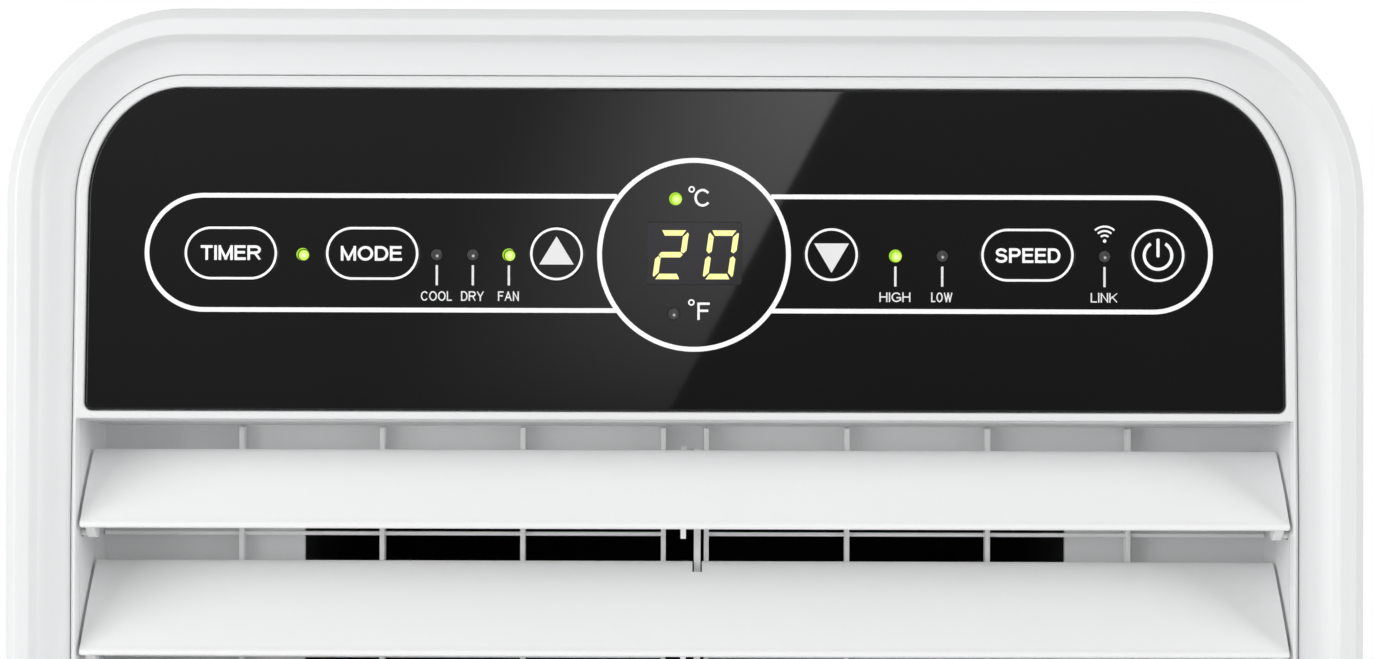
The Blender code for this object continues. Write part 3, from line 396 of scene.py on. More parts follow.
LOOKS = {
    "case_white": moulded("case_plastic", (0.80, 0.805, 0.81), 0.36, 0.5, 0.004, 0.006, 0.03),
    "panel_black": moulded("panel_gloss", (0.0045, 0.0045, 0.005), 0.022, 9.0, 0.0004, 0.1, 0.006),
    "lamp_clear": moulded("lamp_clear_plastic", (0.10, 0.10, 0.10), 0.25, 1.5, 0.003),
    "display_smoke": moulded("display_window", (0.013, 0.011, 0.015), 0.10, 6.0, 0.003, 0.1, 0.02),
    "board_green": moulded("board_mask", (0.02, 0.13, 0.05), 0.4, 2.0, 0.02, 0.15, 0.08),
    "vent_grey": moulded("vent_plastic", (0.72, 0.725, 0.73), 0.5, 0.6, 0.006, 0.01, 0.04),
    "inner_black": moulded("black_plastic", (0.018, 0.018, 0.019), 0.5, 0.6, 0.01, 0.1, 0.08),
    "fin_aluminium": striped("pressed_fins", (0.70, 0.71, 0.72), 0.35, "X", 1.6, 0.5, 0.9),
    "steel_grey": moulded("plated_steel", (0.52, 0.53, 0.55), 0.34, 1.2, 0.006, 0.08, 0.08, 0.85),
    "enamel_black": moulded("black_enamel", (0.015, 0.015, 0.016), 0.3, 1.5, 0.02, 0.1, 0.06),
    "foam_white": moulded("inner_plastic", (0.74, 0.74, 0.72), 0.7, 2.2, 0.06, 0.03, 0.06),
    "copper": moulded("drawn_copper", (0.75, 0.36, 0.21), 0.28, 3.0, 0.01, 0.12, 0.1, 1.0),
    "rubber_black": moulded("moulded_rubber", (0.020, 0.020, 0.021), 0.72, 0.7, 0.02, 0.15, 0.08),
    "filter_grey": woven("filter_net", (0.075, 0.08, 0.085), 0.7, 1.6),
    "caster_grey": moulded("caster_plastic", (0.045, 0.045, 0.048), 0.42, 0.6, 0.01, 0.08, 0.05),
}
# painted light: the case's white plastic made lighter for the slats and guard ribs, standing in for the extra
# light they catch
LIGHTENED_WHITE = moulded("white_plastic_painted_light", (0.885, 0.887, 0.89), 0.40, 0.5, 0.004, 0.006, 0.03)
INK = moulded("white_ink", (0.95, 0.95, 0.95), 0.45, 0.8, 0.003, 0.01, 0.04)
SOFT_INK = moulded("soft_ink", (0.80, 0.80, 0.80), 0.45, 0.8, 0.003, 0.01, 0.04)
LIT = lamp_look("lamp_lit", False)
LIT_CRESCENT = lamp_look("lamp_lit_crescent", True)
UNLIT = dark_lamp_look()
SEGMENTS = segment_look()


# ---- outlines


def arc(centre, radii, start, end, steps):
    """Points of an elliptical arc between two angles in degrees, both ends included."""
    points = []
    for step in range(steps + 1):
        angle = math.radians(start + (end - start) * step / steps)
        points.append((centre[0] + radii[0] * math.cos(angle), centre[1] + radii[1] * math.sin(angle)))
    return points


def circle(centre, radius, steps=32):
    return arc(centre, (radius, radius), 0, 360 - 360 / steps, steps - 1)


def rectangle(across, up, radius=0.0, steps=8):
    (left, right), (low, high) = across, up
    if not radius:
        return [(left, low), (right, low), (right, high), (left, high)]
    near, far, foot, top = left + radius, right - radius, low + radius, high - radius
    outline = []
    for turn, corner in enumerate(((far, foot), (far, top), (near, top), (near, foot))):
        outline += arc(corner, (radius, radius), 90 * turn - 90, 90 * turn, steps)
    return outline


def stadium(centre, width, height, steps=24):
    radius = height / 2
    reach = width / 2 - radius
    right = arc((centre[0] + reach, centre[1]), (radius, radius), -90, 90, steps)
    left = arc((centre[0] - reach, centre[1]), (radius, radius), 90, 270, steps)
    return right[:-1] + left[:-1] if reach == 0 else right + left


def inset_rectangle(across, up, radius=0.0, follow=1.0, steps=8):
    """A rectangle as a function of its inset, which its corner radius follows in some share."""

    def outline(inset):
        (left, right), (low, high) = across, up
        span = (left + inset, right - inset)
        return rectangle(span, (low + inset, high - inset), radius - follow * inset, steps)

    return outline


def inset_stadium(centre, width, height, steps):
    return lambda inset: stadium(centre, width - 2 * inset, height - 2 * inset, steps)


def mirrored(points):
    return [(-x, z) for x, z in reversed(points)]


def front_outline(inset, bottom, bottom_radius):
    """The case's front outline drawn in by an inset, down to a bottom edge with its own corner radius."""
    half = WIDTH / 2 - inset
    radii = (half - CORNER_X, HEIGHT - CORNER_Z - inset * 0.98)
    reach = (CORNER_Z - max(bottom, FLARE_Z)) / (CORNER_Z - FLARE_Z)
    flared = half + FLARE * inset * reach
    corner = (flared - bottom_radius, bottom + bottom_radius)
    side = arc(corner, (bottom_radius, bottom_radius), -90, 0, 10)
    if bottom < FLARE_Z - 1:
        side.append((flared, FLARE_Z))
    side += arc((CORNER_X, CORNER_Z), radii, 0, 90, CORNER_STEPS)
    return side + mirrored(side)


def inset_front(start, bottom, radius):
    return lambda inset: front_outline(start + inset, bottom + inset, radius - inset)


def case_outline(inset):
    return front_outline(inset, CASE_BOTTOM + inset, max(BOTTOM_RADIUS - inset, 2.0))


grip_outline = inset_rectangle((-45.0, 45.0), (560.0, 596.0), 10.0, steps=10)


# ---- meshes


def placed(axis, across, up, along):
    return {"X": (along, across, up), "Y": (across, along, up), "Z": (across, up, along)}[axis]


def add_loft(bm, rings, closed=False):
    loops = [[bm.verts.new(point) for point in ring] for ring in rings]
    count = len(loops[0])
    pairs = list(zip(loops, loops[1:]))
    if closed:
        pairs.append((loops[-1], loops[0]))
    for first, second in pairs:
        for i in range(count):
            j = (i + 1) % count
            bm.faces.new((first[i], first[j], second[j], second[i]))
    if not closed:
        bm.faces.new(loops[0])
        bm.faces.new(loops[-1])


def add_prism(bm, outline, axis, low, high):
    add_loft(bm, [[placed(axis, u, v, level) for u, v in outline] for level in (low, high)])


def add_layers(bm, outline, axis, levels, closed=False):
    """A solid through levels along an axis; outline(inset) gives its shape at each level's inset."""
    add_loft(bm, [[placed(axis, u, v, level) for u, v in outline(inset)] for inset, level in levels], closed)


def add_rod(bm, axis, centre, radius, low, high, steps=24):
    add_prism(bm, circle(centre, radius, steps), axis, low, high)


def add_turned(bm, profile, axis, centre, steps=48):
    u, v = centre
    rings = []
    for step in range(steps):
        angle = 2 * math.pi * step / steps
        across = math.cos(angle)
        up = math.sin(angle)
        rings.append([placed(axis, u + r * across, v + r * up, along) for r, along in profile])
    add_loft(bm, rings, closed=True)
    bmesh.ops.remove_doubles(bm, verts=bm.verts, dist=0.0005)


def bend(radius, steps):
    """A quarter turn, as pairs of an inset and a depth below the face."""
    turns = [math.pi / 2 * step / steps for step in range(steps + 1)]
    return [(radius * (1 - math.cos(t)), radius * (1 - math.sin(t))) for t in turns]


def add_rounded(bm, outline, axis, back, front, radius, steps=4, both=False):
    """A plate whose front edge is rounded, or both its edges."""
    way = math.copysign(1.0, front - back)
    levels = [(inset, front - way * depth) for inset, depth in bend(radius, steps)]
    first = [(inset, back + way * depth) for inset, depth in reversed(bend(radius, steps))]
    add_layers(bm, outline, axis, (first if both else [(0.0, back)]) + levels)


def add_flared(bm, outline, axis, back, face, beyond, radius):
    """A cutter that leaves a rounded edge where it comes out at a face."""
    way = math.copysign(1.0, beyond - face)
    levels = [(-inset, face - way * depth) for inset, depth in bend(radius, 3)]
    add_layers(bm, outline, axis, [(0.0, back)] + levels + [(-radius * 1.001, beyond)])


def add_hull(bm, outline, axis, low, high):
    points = [bm.verts.new(placed(axis, u, v, level)) for level in (low, high) for u, v in outline]
    made = bmesh.ops.convex_hull(bm, input=points)
    spare = [item for item in made["geom_interior"] if isinstance(item, bmesh.types.BMVert)]
    bmesh.ops.delete(bm, geom=spare, context="VERTS")


def own_mesh(add):
    """Turns an add_ function into one that returns a mesh of its own."""

    def build(*details, **settings):
        bm = bmesh.new()
        add(bm, *details, **settings)
        return bm

    return build


loft, prism, layered = own_mesh(add_loft), own_mesh(add_prism), own_mesh(add_layers)
turned, rounded, flared = own_mesh(add_turned), own_mesh(add_rounded), own_mesh(add_flared)
hull = own_mesh(add_hull)


def boxes(*spans):
    bm = bmesh.new()
    for x, y, z in spans:
        add_prism(bm, rectangle(x, y), "Z", *z)
    return bm


def rods(axis, centres, radius, low, high, steps=24):
    bm = bmesh.new()
    for centre in centres:
        add_rod(bm, axis, centre, radius, low, high, steps)
    return bm


def closed_curve(points, steps):
    """A smooth closed outline through some points."""
    made = []
    count = len(points)
    for i in range(count):
        p0, p1, p2, p3 = (Vector(points[(i + k) % count]) for k in (-1, 0, 1, 2))
        for step in range(steps):
            t = step / steps
            bend = (2 * p0 - 5 * p1 + 4 * p2 - p3) * t * t
            twist = (3 * p1 - p0 - 3 * p2 + p3) * t * t * t
            made.append(tuple(p1 + ((p2 - p0) * t + bend + twist) / 2))
    return made


def to_object(name, bm, origin=(0.0, 0.0, 0.0)):
    bmesh.ops.recalc_face_normals(bm, faces=bm.faces)
    for vertex in bm.verts:
        vertex.co = (vertex.co - Vector(origin)) * MM
    mesh = bpy.data.meshes.new(name)
    bm.to_mesh(mesh)
    bm.free()
    made = bpy.data.objects.new(name, mesh)
    scene.collection.objects.link(made)
    made.location = Vector(origin) * MM
    return made


def settle(made):
    """Turns an object's modifiers into its mesh."""
    graph = bpy.context.evaluated_depsgraph_get()
    mesh = bpy.data.meshes.new_from_object(made.evaluated_get(graph))
    made.modifiers.clear()
    made.data = mesh


def piece(
    name, bm, slot, edits=(), body="cabinet", node=None, look=None, origin=(0, 0, 0), bevel=0.0, angle=32
):
    """A finished piece: cuts and joins applied, edges softened, shaded, on its body and with its material."""
    made = to_object(name, bm, origin)
    helpers = []
    for operation, other in edits:
        helper = to_object(name + ".tool", other)
        modifier = made.modifiers.new(operation, "BOOLEAN")
        modifier.operation = operation
        modifier.solver = "EXACT"
        modifier.object = helper
        helpers.append(helper)
    if helpers:
        bpy.context.view_layer.update()
        settle(made)
        for helper in helpers:
            bpy.data.objects.remove(helper, do_unlink=True)
    if bevel:
        soft = made.modifiers.new("edges", "BEVEL")
        soft.width = bevel * MM
        soft.segments = 3
        soft.limit_method = "ANGLE"
        soft.angle_limit = math.radians(35)
        bpy.context.view_layer.update()
        settle(made)
    made.data.materials.clear()
    made.data.materials.append(look or LOOKS[slot])
    made.data.shade_smooth()
    made.data.set_sharp_from_angle(angle=math.radians(angle))
    weight = made.modifiers.new("normals", "WEIGHTED_NORMAL")
    weight.keep_sharp = True
    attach(made, body)
    if node:
        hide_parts(node)
    return made


CUT = "DIFFERENCE"
JOIN = "UNION"


# ---- case


def front_frame():
    edge = [(0.0, FRAME_BACK), (0.0, -165.8), (0.25, -166.3), (2.7, -169.65), (3.1, -169.92), (3.5, FRONT)]
    ridge = [(6.9, FRONT), (7.15, -169.92), (7.35, -169.75), (8.7, -168.1)]
    cove = []
    for step in range(11):
        share = 1 - step / 10
        cove.append((COVE_END - share * (COVE_END - COVE_START), -165.0 - 2.7 * share * share))
    lap = FLANGE_FRONT - GAP
    back = [(17.2, -164.85), (GROOVE_INSET, -164.6), (GROOVE_INSET, lap), (FLANGE_INSET - GAP, lap)]
    back += [(FLANGE_INSET - GAP, -162.2), (10.0, -163.5), (6.0, -167.0), (3.6, -166.6), (2.6, -164.0)]
    back.append((2.6, FRAME_BACK))
    shell = layered(case_outline, "Y", edge + ridge + cove + back, closed=True)
    piece("front_surround", shell, "case_white", node="front_frame")


def front_bezel():
    def vent(inset):
        reach = VENT_HALF - inset * 0.6
        return rectangle((-reach, reach), (VENT_BOTTOM + inset, VENT_TOP - inset), 0.4 - inset, 4)

    rim = inset_front(BEZEL_INSET, BEZEL_BOTTOM, 0.8)
    seat = inset_front(OVERLAY_INSET - GAP, OVERLAY_BOTTOM - GAP, 2.2)
    seam = BEZEL_BOTTOM + 0.1
    ledge = 3.5
    window = front_outline(OVERLAY_INSET + ledge, OVERLAY_BOTTOM + ledge, 3.0)
    edits = (
        (JOIN, prism(front_outline(GROOVE_INSET + 0.25, seam, 0.8), "Y", -164.7, FLANGE_FRONT + 1)),
        (JOIN, prism(front_outline(FLANGE_INSET, seam, 0.8), "Y", FLANGE_FRONT, BEZEL_BACK)),
        (CUT, flared(seat, "Y", OVERLAY_BACK + GAP, BEZEL_FRONT, BEZEL_FRONT - 1, 0.5)),
        (CUT, prism(window, "Y", BEZEL_FRONT - 2, BEZEL_BACK + 1)),
        (CUT, flared(vent, "Y", BEZEL_BACK + 1, BEZEL_FRONT, BEZEL_FRONT - 1, 0.5)),
    )
    plate = rounded(rim, "Y", FLANGE_FRONT + 1, BEZEL_FRONT, 0.45)
    piece("inner_surround", plate, "case_white", edits, node="front_bezel")


def lower_front_panel():
    half = WIDTH / 2 - BEZEL_INSET + FLARE * BEZEL_INSET
    rim = BEZEL_INSET - FLANGE_INSET
    top = BEZEL_BOTTOM - 0.6
    bottom = CASE_BOTTOM + BEZEL_INSET
    face = inset_rectangle((-half, half), (bottom, top), 2.0, 0.0)
    outline = rectangle((-half - rim, half + rim), (bottom - rim, top - 0.1), 2.0)
    edits = ((JOIN, prism(outline, "Y", FLANGE_FRONT, BEZEL_BACK)),)
    plate = rounded(face, "Y", FLANGE_FRONT + 1, BEZEL_FRONT, 0.6)
    piece("front_lower_cover", plate, "case_white", edits, node="lower_front_panel")


def side_panel(name, side):
    face = side * WIDTH / 2
    height = (CASE_BOTTOM + BOTTOM_RADIUS + GAP, SIDE_TOP)
    wall = inset_rectangle((FRAME_BACK + GAP, REAR_COVER_FRONT - GAP), height, 0.0, 0.0)
    mouth = flared(lambda inset: grip_outline(inset - GAP), "X", face - side * 4, face, face + side, 0.4)
    skin = rounded(wall, "X", face - side * WALL, face, 0.4)
    piece(name + "_skin", skin, "case_white", ((CUT, mouth),), node=name)


def hand_grip(name, side):
    mouth = WIDTH / 2 - 0.4
    bottom = WIDTH / 2 - 28.0
    wall = 2.0
    levels = [(0.0, bottom), (0.0, mouth - 0.5), (0.2, mouth - 0.1), (0.6, mouth)]
    levels += [(1.2, mouth), (1.7, mouth - 0.3), (wall, mouth - 1.0), (wall, bottom + wall + 5.0)]
    for t in (0.4, 0.8, 1.2, 1.57):
        levels.append((wall + 5 * (1 - math.cos(t)), bottom + wall + 5 * (1 - math.sin(t))))
    cup = layered(grip_outline, "X", [(inset, side * x) for inset, x in levels])
    piece(name + "_cup", cup, "case_white", node=name)


def top_cover():
    arch = []
    for inset in (0.0, WALL):
        radii = (WIDTH / 2 - CORNER_X - inset, HEIGHT - CORNER_Z - inset)
        side = [(WIDTH / 2 - inset, SIDE_TOP + GAP)] + arc((CORNER_X, CORNER_Z), radii, 0, 90, CORNER_STEPS)
        run = side + mirrored(side)
        arch += run if inset == 0.0 else run[::-1]
    skin = prism(arch, "Y", FRAME_BACK + GAP, REAR_COVER_FRONT - GAP)
    piece("top_skin", skin, "case_white", node="top_cover", bevel=0.3)


def rear_cover():
    levels = [(4.5, REAR_WALL - WALL), (WALL, 152.5), (WALL, REAR_COVER_FRONT), (0.0, REAR_COVER_FRONT)]
    levels += [(0.0, 150.4), (0.25, 152.6), (0.9, 154.5), (2.0, 156.2), (3.4, 157.3), (4.9, 157.85)]
    levels.append((6.5, REAR_WALL))
    openings = bmesh.new()
    for height in (UPPER_INTAKE_Z, LOWER_INTAKE_Z):
        window = inset_rectangle((-INTAKE_HALF, INTAKE_HALF), height, 6.0)
        add_flared(openings, window, "Y", 150.0, REAR_WALL, REAR_WALL + 2, 0.4)
    add_rod(openings, "Y", (0.0, EXHAUST_Z), EXHAUST_RADIUS + 2.6, 148.0, 168.0, 96)
    for centre in DRAINS.values():
        add_rod(openings, "Y", centre, 8.4, 148.0, 168.0, 32)
    add_rod(openings, "Y", INLET, 6.9, 148.0, 168.0, 32)
    sink = ((0.0, 160.0), (5.6, 160.0), (4.8, REAR_WALL - 0.2), (4.6, SCREW_SEAT), (0.0, SCREW_SEAT))
    for centre in SCREWS:
        add_turned(openings, sink, "Y", centre, 32)
    shell = layered(case_outline, "Y", levels)
    piece("rear_shell", shell, "case_white", ((CUT, openings),), node="rear_cover")


def base_tray():
    centre = (WIDTH / 2 - BOTTOM_RADIUS, CASE_BOTTOM + BOTTOM_RADIUS)
    corner = arc(centre, (BOTTOM_RADIUS, BOTTOM_RADIUS), -90, 0, 10)
    apron = prism(corner + mirrored(corner), "Y", FRAME_BACK + GAP, REAR_COVER_FRONT - GAP)
    pan_radius = BOTTOM_RADIUS - 3.0
    side = arc(centre, (pan_radius, pan_radius), -90, 0, 10)
    side.append((centre[0] + pan_radius, 75.0))
    drain = [DRAINS["lower"]]
    stems = list(CASTERS.values())
    edits = (
        (JOIN, prism(side + mirrored(side), "Y", -156.0, 152.0)),
        (CUT, boxes(((-169.0, 169.0), (-153.0, 149.0), (55.0, 80.0)))),
        (JOIN, rods("Z", stems, 9.0, 53.0, 68.0)),
        (JOIN, rods("Y", drain, 8.0, 148.0, REAR_WALL - 0.5)),
        (CUT, rods("Z", stems, 5.5, CASE_BOTTOM - 1, 64.0)),
        (CUT, rods("Y", drain, 5.5, 140.0, REAR_WALL + 1)),
    )
    piece("chassis", apron, "inner_black", edits, node="base_tray")


# ---- control panel


def control_overlay():
    plate = inset_front(OVERLAY_INSET, OVERLAY_BOTTOM, 2.0)
    lamps = [(x, z) for x, z, _ in LAMPS.values()]
    holes = rods("Y", lamps, LAMP_RADIUS + 0.12, OVERLAY_FRONT - 1, OVERLAY_BACK + 1, 32)
    for x, width in KEYS.values():
        mouth = inset_stadium((x, KEY_Z), width + 0.32, KEY_HEIGHT + 0.32, 32)
        add_flared(holes, mouth, "Y", OVERLAY_BACK + 1, OVERLAY_FRONT, OVERLAY_FRONT - 1, 0.12)
    add_prism(holes, display_outline(-0.04), "Y", OVERLAY_FRONT - 1, OVERLAY_BACK + 1)
    sheet = rounded(plate, "Y", OVERLAY_BACK, OVERLAY_FRONT, 0.5)
    piece("panel_fascia", sheet, "panel_black", ((CUT, holes),), node="control_overlay")


def key(name, x, width):
    cap_back = OVERLAY_BACK + 0.6
    flange_back = cap_back + 1.2
    outline = inset_stadium((x, KEY_Z), width, KEY_HEIGHT, 32)
    edits = (
        (JOIN, prism(stadium((x, KEY_Z), width + 2, KEY_HEIGHT + 2), "Y", cap_back - 0.2, flange_back)),
        (JOIN, rods("Y", [(x, KEY_Z)], 2.5, flange_back - 0.5, BOARD_FRONT - 0.8)),
    )
    cap = rounded(outline, "Y", cap_back, OVERLAY_FRONT, 0.15, 3)
    piece("cap_" + name, cap, "panel_black", edits, body=name + "_key", node="key_" + name)


display_outline = inset_rectangle(DISPLAY_X, DISPLAY_Z, 0.6, 0.0, 4)


def display():
    window = rounded(display_outline, "Y", -158.6, OVERLAY_FRONT + 0.02, 0.08, 3)
    piece("display_window", window, "display_smoke", node="digit_display")


def lamp_lenses():
    face = OVERLAY_FRONT - 0.1
    foot = OVERLAY_FRONT - 0.02
    for name, (x, z, lit) in LAMPS.items():
        radius = 1.66 if lit else 1.45
        look = UNLIT
        if lit:
            look = LIT_CRESCENT if name in ("timer", "fan") else LIT
        profile = [(radius * step / 8, face - 0.16 * (1 - (step / 8) ** 2)) for step in range(9)]
        profile += [(radius, foot), (0.0, foot)]
        lens = turned(profile, "Y", (x, z), 40)
        piece("lens_" + name, lens, "lamp_clear", look=look, origin=(x, face, z), angle=50)


# ---- printing

INK_BACK = OVERLAY_FRONT + 0.01
INK_FRONT = OVERLAY_FRONT - 0.035
LINE_Z = (622.4, 651.9)
LINE_ENDS = (-124.3, 120.8)  # centres of the long outline's half-round ends
DIAL = (2.2, 636.85)
DIAL_RADIUS = 24.4
LABEL_WIDTHS = {"cool": 8.0, "dry": 5.9, "fan": 5.4, "high": 8.0, "low": 5.5, "link": 6.9}
STEM = ((0.0, 0.0), (0.0, 1.0))
BAR = ((0.6, 0.45), (1.0, 0.45))
ZIGZAG = ((0.0, 1.0), (0.26, 0.0), (0.5, 1.0), (0.74, 0.0), (1.0, 1.0))
BOWL = arc((0.62, 0.745), (0.38, 0.255), 90, -90, 10)
CURL = arc((0.5, 0.76), (0.45, 0.24), 28, 270, 14) + arc((0.5, 0.26), (0.5, 0.26), 90, -155, 14)[1:]
LETTERS = {  # width over height, then strokes in a unit box
    "A": (0.93, [((0.0, 0.0), (0.5, 1.0)), ((0.5, 1.0), (1.0, 0.0)), ((0.22, 0.34), (0.78, 0.34))]),
    "C": (0.90, [arc((0.52, 0.5), (0.52, 0.5), 46, 314, 20)]),
    "D": (0.85, [STEM, [(0.0, 1.0)] + arc((0.45, 0.5), (0.55, 0.5), 90, -90, 14) + [(0.0, 0.0)]]),
    "E": (0.76, [STEM, ((0.0, 1.0), (0.97, 1.0)), ((0.0, 0.53), (0.9, 0.53)), ((0.0, 0.0), (1.0, 0.0))]),
    "F": (0.72, [STEM, ((0.0, 1.0), (1.0, 1.0)), ((0.0, 0.53), (0.85, 0.53))]),
    "G": (0.95, [arc((0.5, 0.5), (0.5, 0.5), 44, 318, 20), BAR, ((1.0, 0.45), (1.0, 0.16))]),
    "H": (0.78, [STEM, ((1.0, 0.0), (1.0, 1.0)), ((0.0, 0.53), (1.0, 0.53))]),
    "I": (0.18, [((0.5, 0.0), (0.5, 1.0))]),
    "K": (0.85, [STEM, ((1.0, 1.0), (0.0, 0.34)), ((0.34, 0.6), (1.0, 0.0))]),
    "L": (0.64, [STEM, ((0.0, 0.0), (1.0, 0.0))]),
    "M": (0.96, [STEM, ((0.0, 1.0), (0.5, 0.0)), ((0.5, 0.0), (1.0, 1.0)), ((1.0, 1.0), (1.0, 0.0))]),
    "N": (0.78, [STEM, ((0.0, 1.0), (1.0, 0.0)), ((1.0, 0.0), (1.0, 1.0))]),
    "O": (0.97, [arc((0.5, 0.5), (0.5, 0.5), 0, 360, 32)]),
    "P": (0.79, [STEM, [(0.0, 1.0)] + BOWL + [(0.0, 0.49)]]),
    "R": (0.90, [STEM, [(0.0, 1.0)] + BOWL + [(0.0, 0.49)], ((0.55, 0.49), (0.98, 0.0))]),
    "S": (0.82, [CURL]),
    "T": (0.79, [((0.5, 0.0), (0.5, 1.0)), ((0.0, 1.0), (1.0, 1.0))]),
    "W": (1.31, [(start, end) for start, end in zip(ZIGZAG, ZIGZAG[1:])]),
    "Y": (0.90, [((0.0, 1.0), (0.5, 0.42)), ((1.0, 1.0), (0.5, 0.42)), ((0.5, 0.42), (0.5, 0.0))]),
}


def band(centre, radius, width, start, end, steps=48):
    """A curved line of even width, as a closed outline."""
    outside = arc(centre, (radius + width / 2,) * 2, start, end, steps)
    inside = arc(centre, (radius - width / 2,) * 2, end, start, steps)
    return outside + inside


def printed(name, outlines, body="cabinet", look=None, front=INK_FRONT):
    """Ink on the panel: thin plates of these outlines."""
    bm = bmesh.new()
    for outline in outlines:
        add_prism(bm, outline, "Y", INK_BACK, front)
    piece("ink_" + name, bm, None, body=body, look=look or INK, angle=60)


def ring(name, outline, width, body="cabinet", front=INK_FRONT):
    """A closed printed line just inside an outline; outline(inset) gives its edges."""
    levels = ((0.0, INK_BACK), (0.0, front), (width, front), (width, INK_BACK))
    line = layered(outline, "Y", levels, closed=True)
    piece("ink_" + name, line, None, body=body, look=INK, angle=60)


def add_stroke(bm, points, weight, box, front):
    """A printed stroke of even width along some points, with square ends, kept inside a box."""
    closed = (points[0] - points[-1]).length < weight * 0.01
    if closed:
        points.pop()
    else:
        points[0] += (points[0] - points[1]).normalized() * weight / 2
        points[-1] += (points[-1] - points[-2]).normalized() * weight / 2
    count = len(points)
    rings = []
    for i, point in enumerate(points):
        last = not closed and i == count - 1
        after = (points[(i + 1) % count] - point).normalized() if not last else Vector((0.0, 0.0))
        before = (point - points[i - 1]).normalized() if closed or i else Vector((0.0, 0.0))
        way = (before + after).normalized()
        side = Vector((-way.y, way.x))
        turn = max(way.dot(after), way.dot(before))
        corners = []
        for edge in (side, -side):
            reached = point + edge * weight / 2 / max(turn, 0.5)
            corners.append([min(max(reached[k], box[k][0]), box[k][1]) for k in (0, 1)])
        (x, z), (far_x, far_z) = corners
        rings.append([(x, INK_BACK, z), (x, front, z), (far_x, front, far_z), (far_x, INK_BACK, far_z)])
    add_loft(bm, rings, closed)


def word(name, text, centre, size, body="cabinet", weight=0.34, look=None):
    """A printed word in plain capitals, fitted to a width and height."""
    bm = bmesh.new()
    gap = 0.11 * size[1]
    share = (size[0] - gap * (len(text) - 1)) / sum(LETTERS[letter][0] for letter in text)
    left = centre[0] - size[0] / 2
    low = centre[1] - size[1] / 2
    for letter in text:
        width = max(LETTERS[letter][0] * share, weight)
        box = ((left, left + width), (low, low + size[1]))
        corner = Vector((left + weight / 2, low + weight / 2))
        for place, stroke in enumerate(LETTERS[letter][1]):
            points = [corner + Vector((u * (width - weight), v * (size[1] - weight))) for u, v in stroke]
            add_stroke(bm, points, weight, box, INK_FRONT - 0.004 * place)
        left += width + gap
    piece("ink_" + name, bm, None, body=body, look=look or INK, angle=60)


def long_outline():
    half = (LINE_Z[1] - LINE_Z[0]) / 2
    middle = (LINE_Z[0] + LINE_Z[1]) / 2
    width = 1.2
    outlines = []
    for side, end_x in zip((-1, 1), LINE_ENDS):
        near = DIAL[0] + side * 19.9
        start, end = (90, 270) if side < 0 else (90, -90)
        outside = arc((end_x, middle), (half + width / 2,) * 2, start, end, 40)
        inside = arc((end_x, middle), (half - width / 2,) * 2, end, start, 40)
        ends = [(near, middle + half + width / 2), (near, middle - half - width / 2)]
        ends += [(near, middle - half + width / 2), (near, middle + half - width / 2)]
        outlines.append(ends[:1] + outside + ends[1:3] + inside + ends[3:])
    printed("long_line", outlines)
    ring("dial", lambda inset: circle(DIAL, DIAL_RADIUS + 0.62 - inset, 120), 1.25, front=INK_FRONT - 0.006)


def key_rings():
    for name, (x, width) in KEYS.items():
        outline = inset_stadium((x, KEY_Z), width - 0.36, KEY_HEIGHT - 0.36, 40)
        ring("ring_" + name, outline, 0.62, name + "_key")


def symbols():
    up, down, power = (KEYS[name][0] for name in ("up", "down", "power"))
    printed("up_arrow", [[(up - 4.45, 634.25), (up + 4.45, 634.25), (up, 641.55)]], "up_key", SOFT_INK)
    printed("down_arrow", [[(down - 4.5, 639.9), (down, 632.3), (down + 4.5, 639.9)]], "down_key", SOFT_INK)
    bar = rectangle((power - 0.4, power + 0.4), (636.5, 641.4), 0.35, 3)
    printed("power", [band((power, 637.0), 3.55, 0.8, 122, 418), bar], "power_key")
    foot = (LAMPS["link"][0], 640.7)
    arcs = [band(foot, radius, 0.5, 48, 132, 20) for radius in (1.45, 2.6, 3.75)]
    printed("link_arcs", arcs + [circle(foot, 0.45, 16)])
    ticks = []
    for name in LABEL_WIDTHS:
        x = LAMPS[name][0]
        ticks.append(rectangle((x - 0.3, x + 0.3), (628.8, 634.0), 0.1, 2))
    printed("ticks", ticks, look=SOFT_INK)
    for name, z in (("celsius", 653.75), ("fahrenheit", 624.55)):
        ring("degree_" + name, lambda inset, z=z: circle((1.55, z), 0.85 - inset, 24), 0.4)


def words():
    bold = 0.69
    places = (("timer", 0.0, 637.1, 15.5), ("mode", -0.2, 637.0, 15.8), ("speed", 0.1, 636.9, 16.8))
    for name, shift, z, width in places:
        word(name, name.upper(), (KEYS[name][0] + shift, z), (width, 3.8), name + "_key", bold)
    for name, width in LABEL_WIDTHS.items():
        word(name, name.upper(), (LAMPS[name][0] - 0.1, 626.05), (width, 2.5), look=SOFT_INK)
    word("celsius", "C", (4.3, 651.6), (4.1, 4.6), weight=0.62)
    word("fahrenheit", "F", (4.7, 622.3), (3.2, 4.5), weight=0.62)


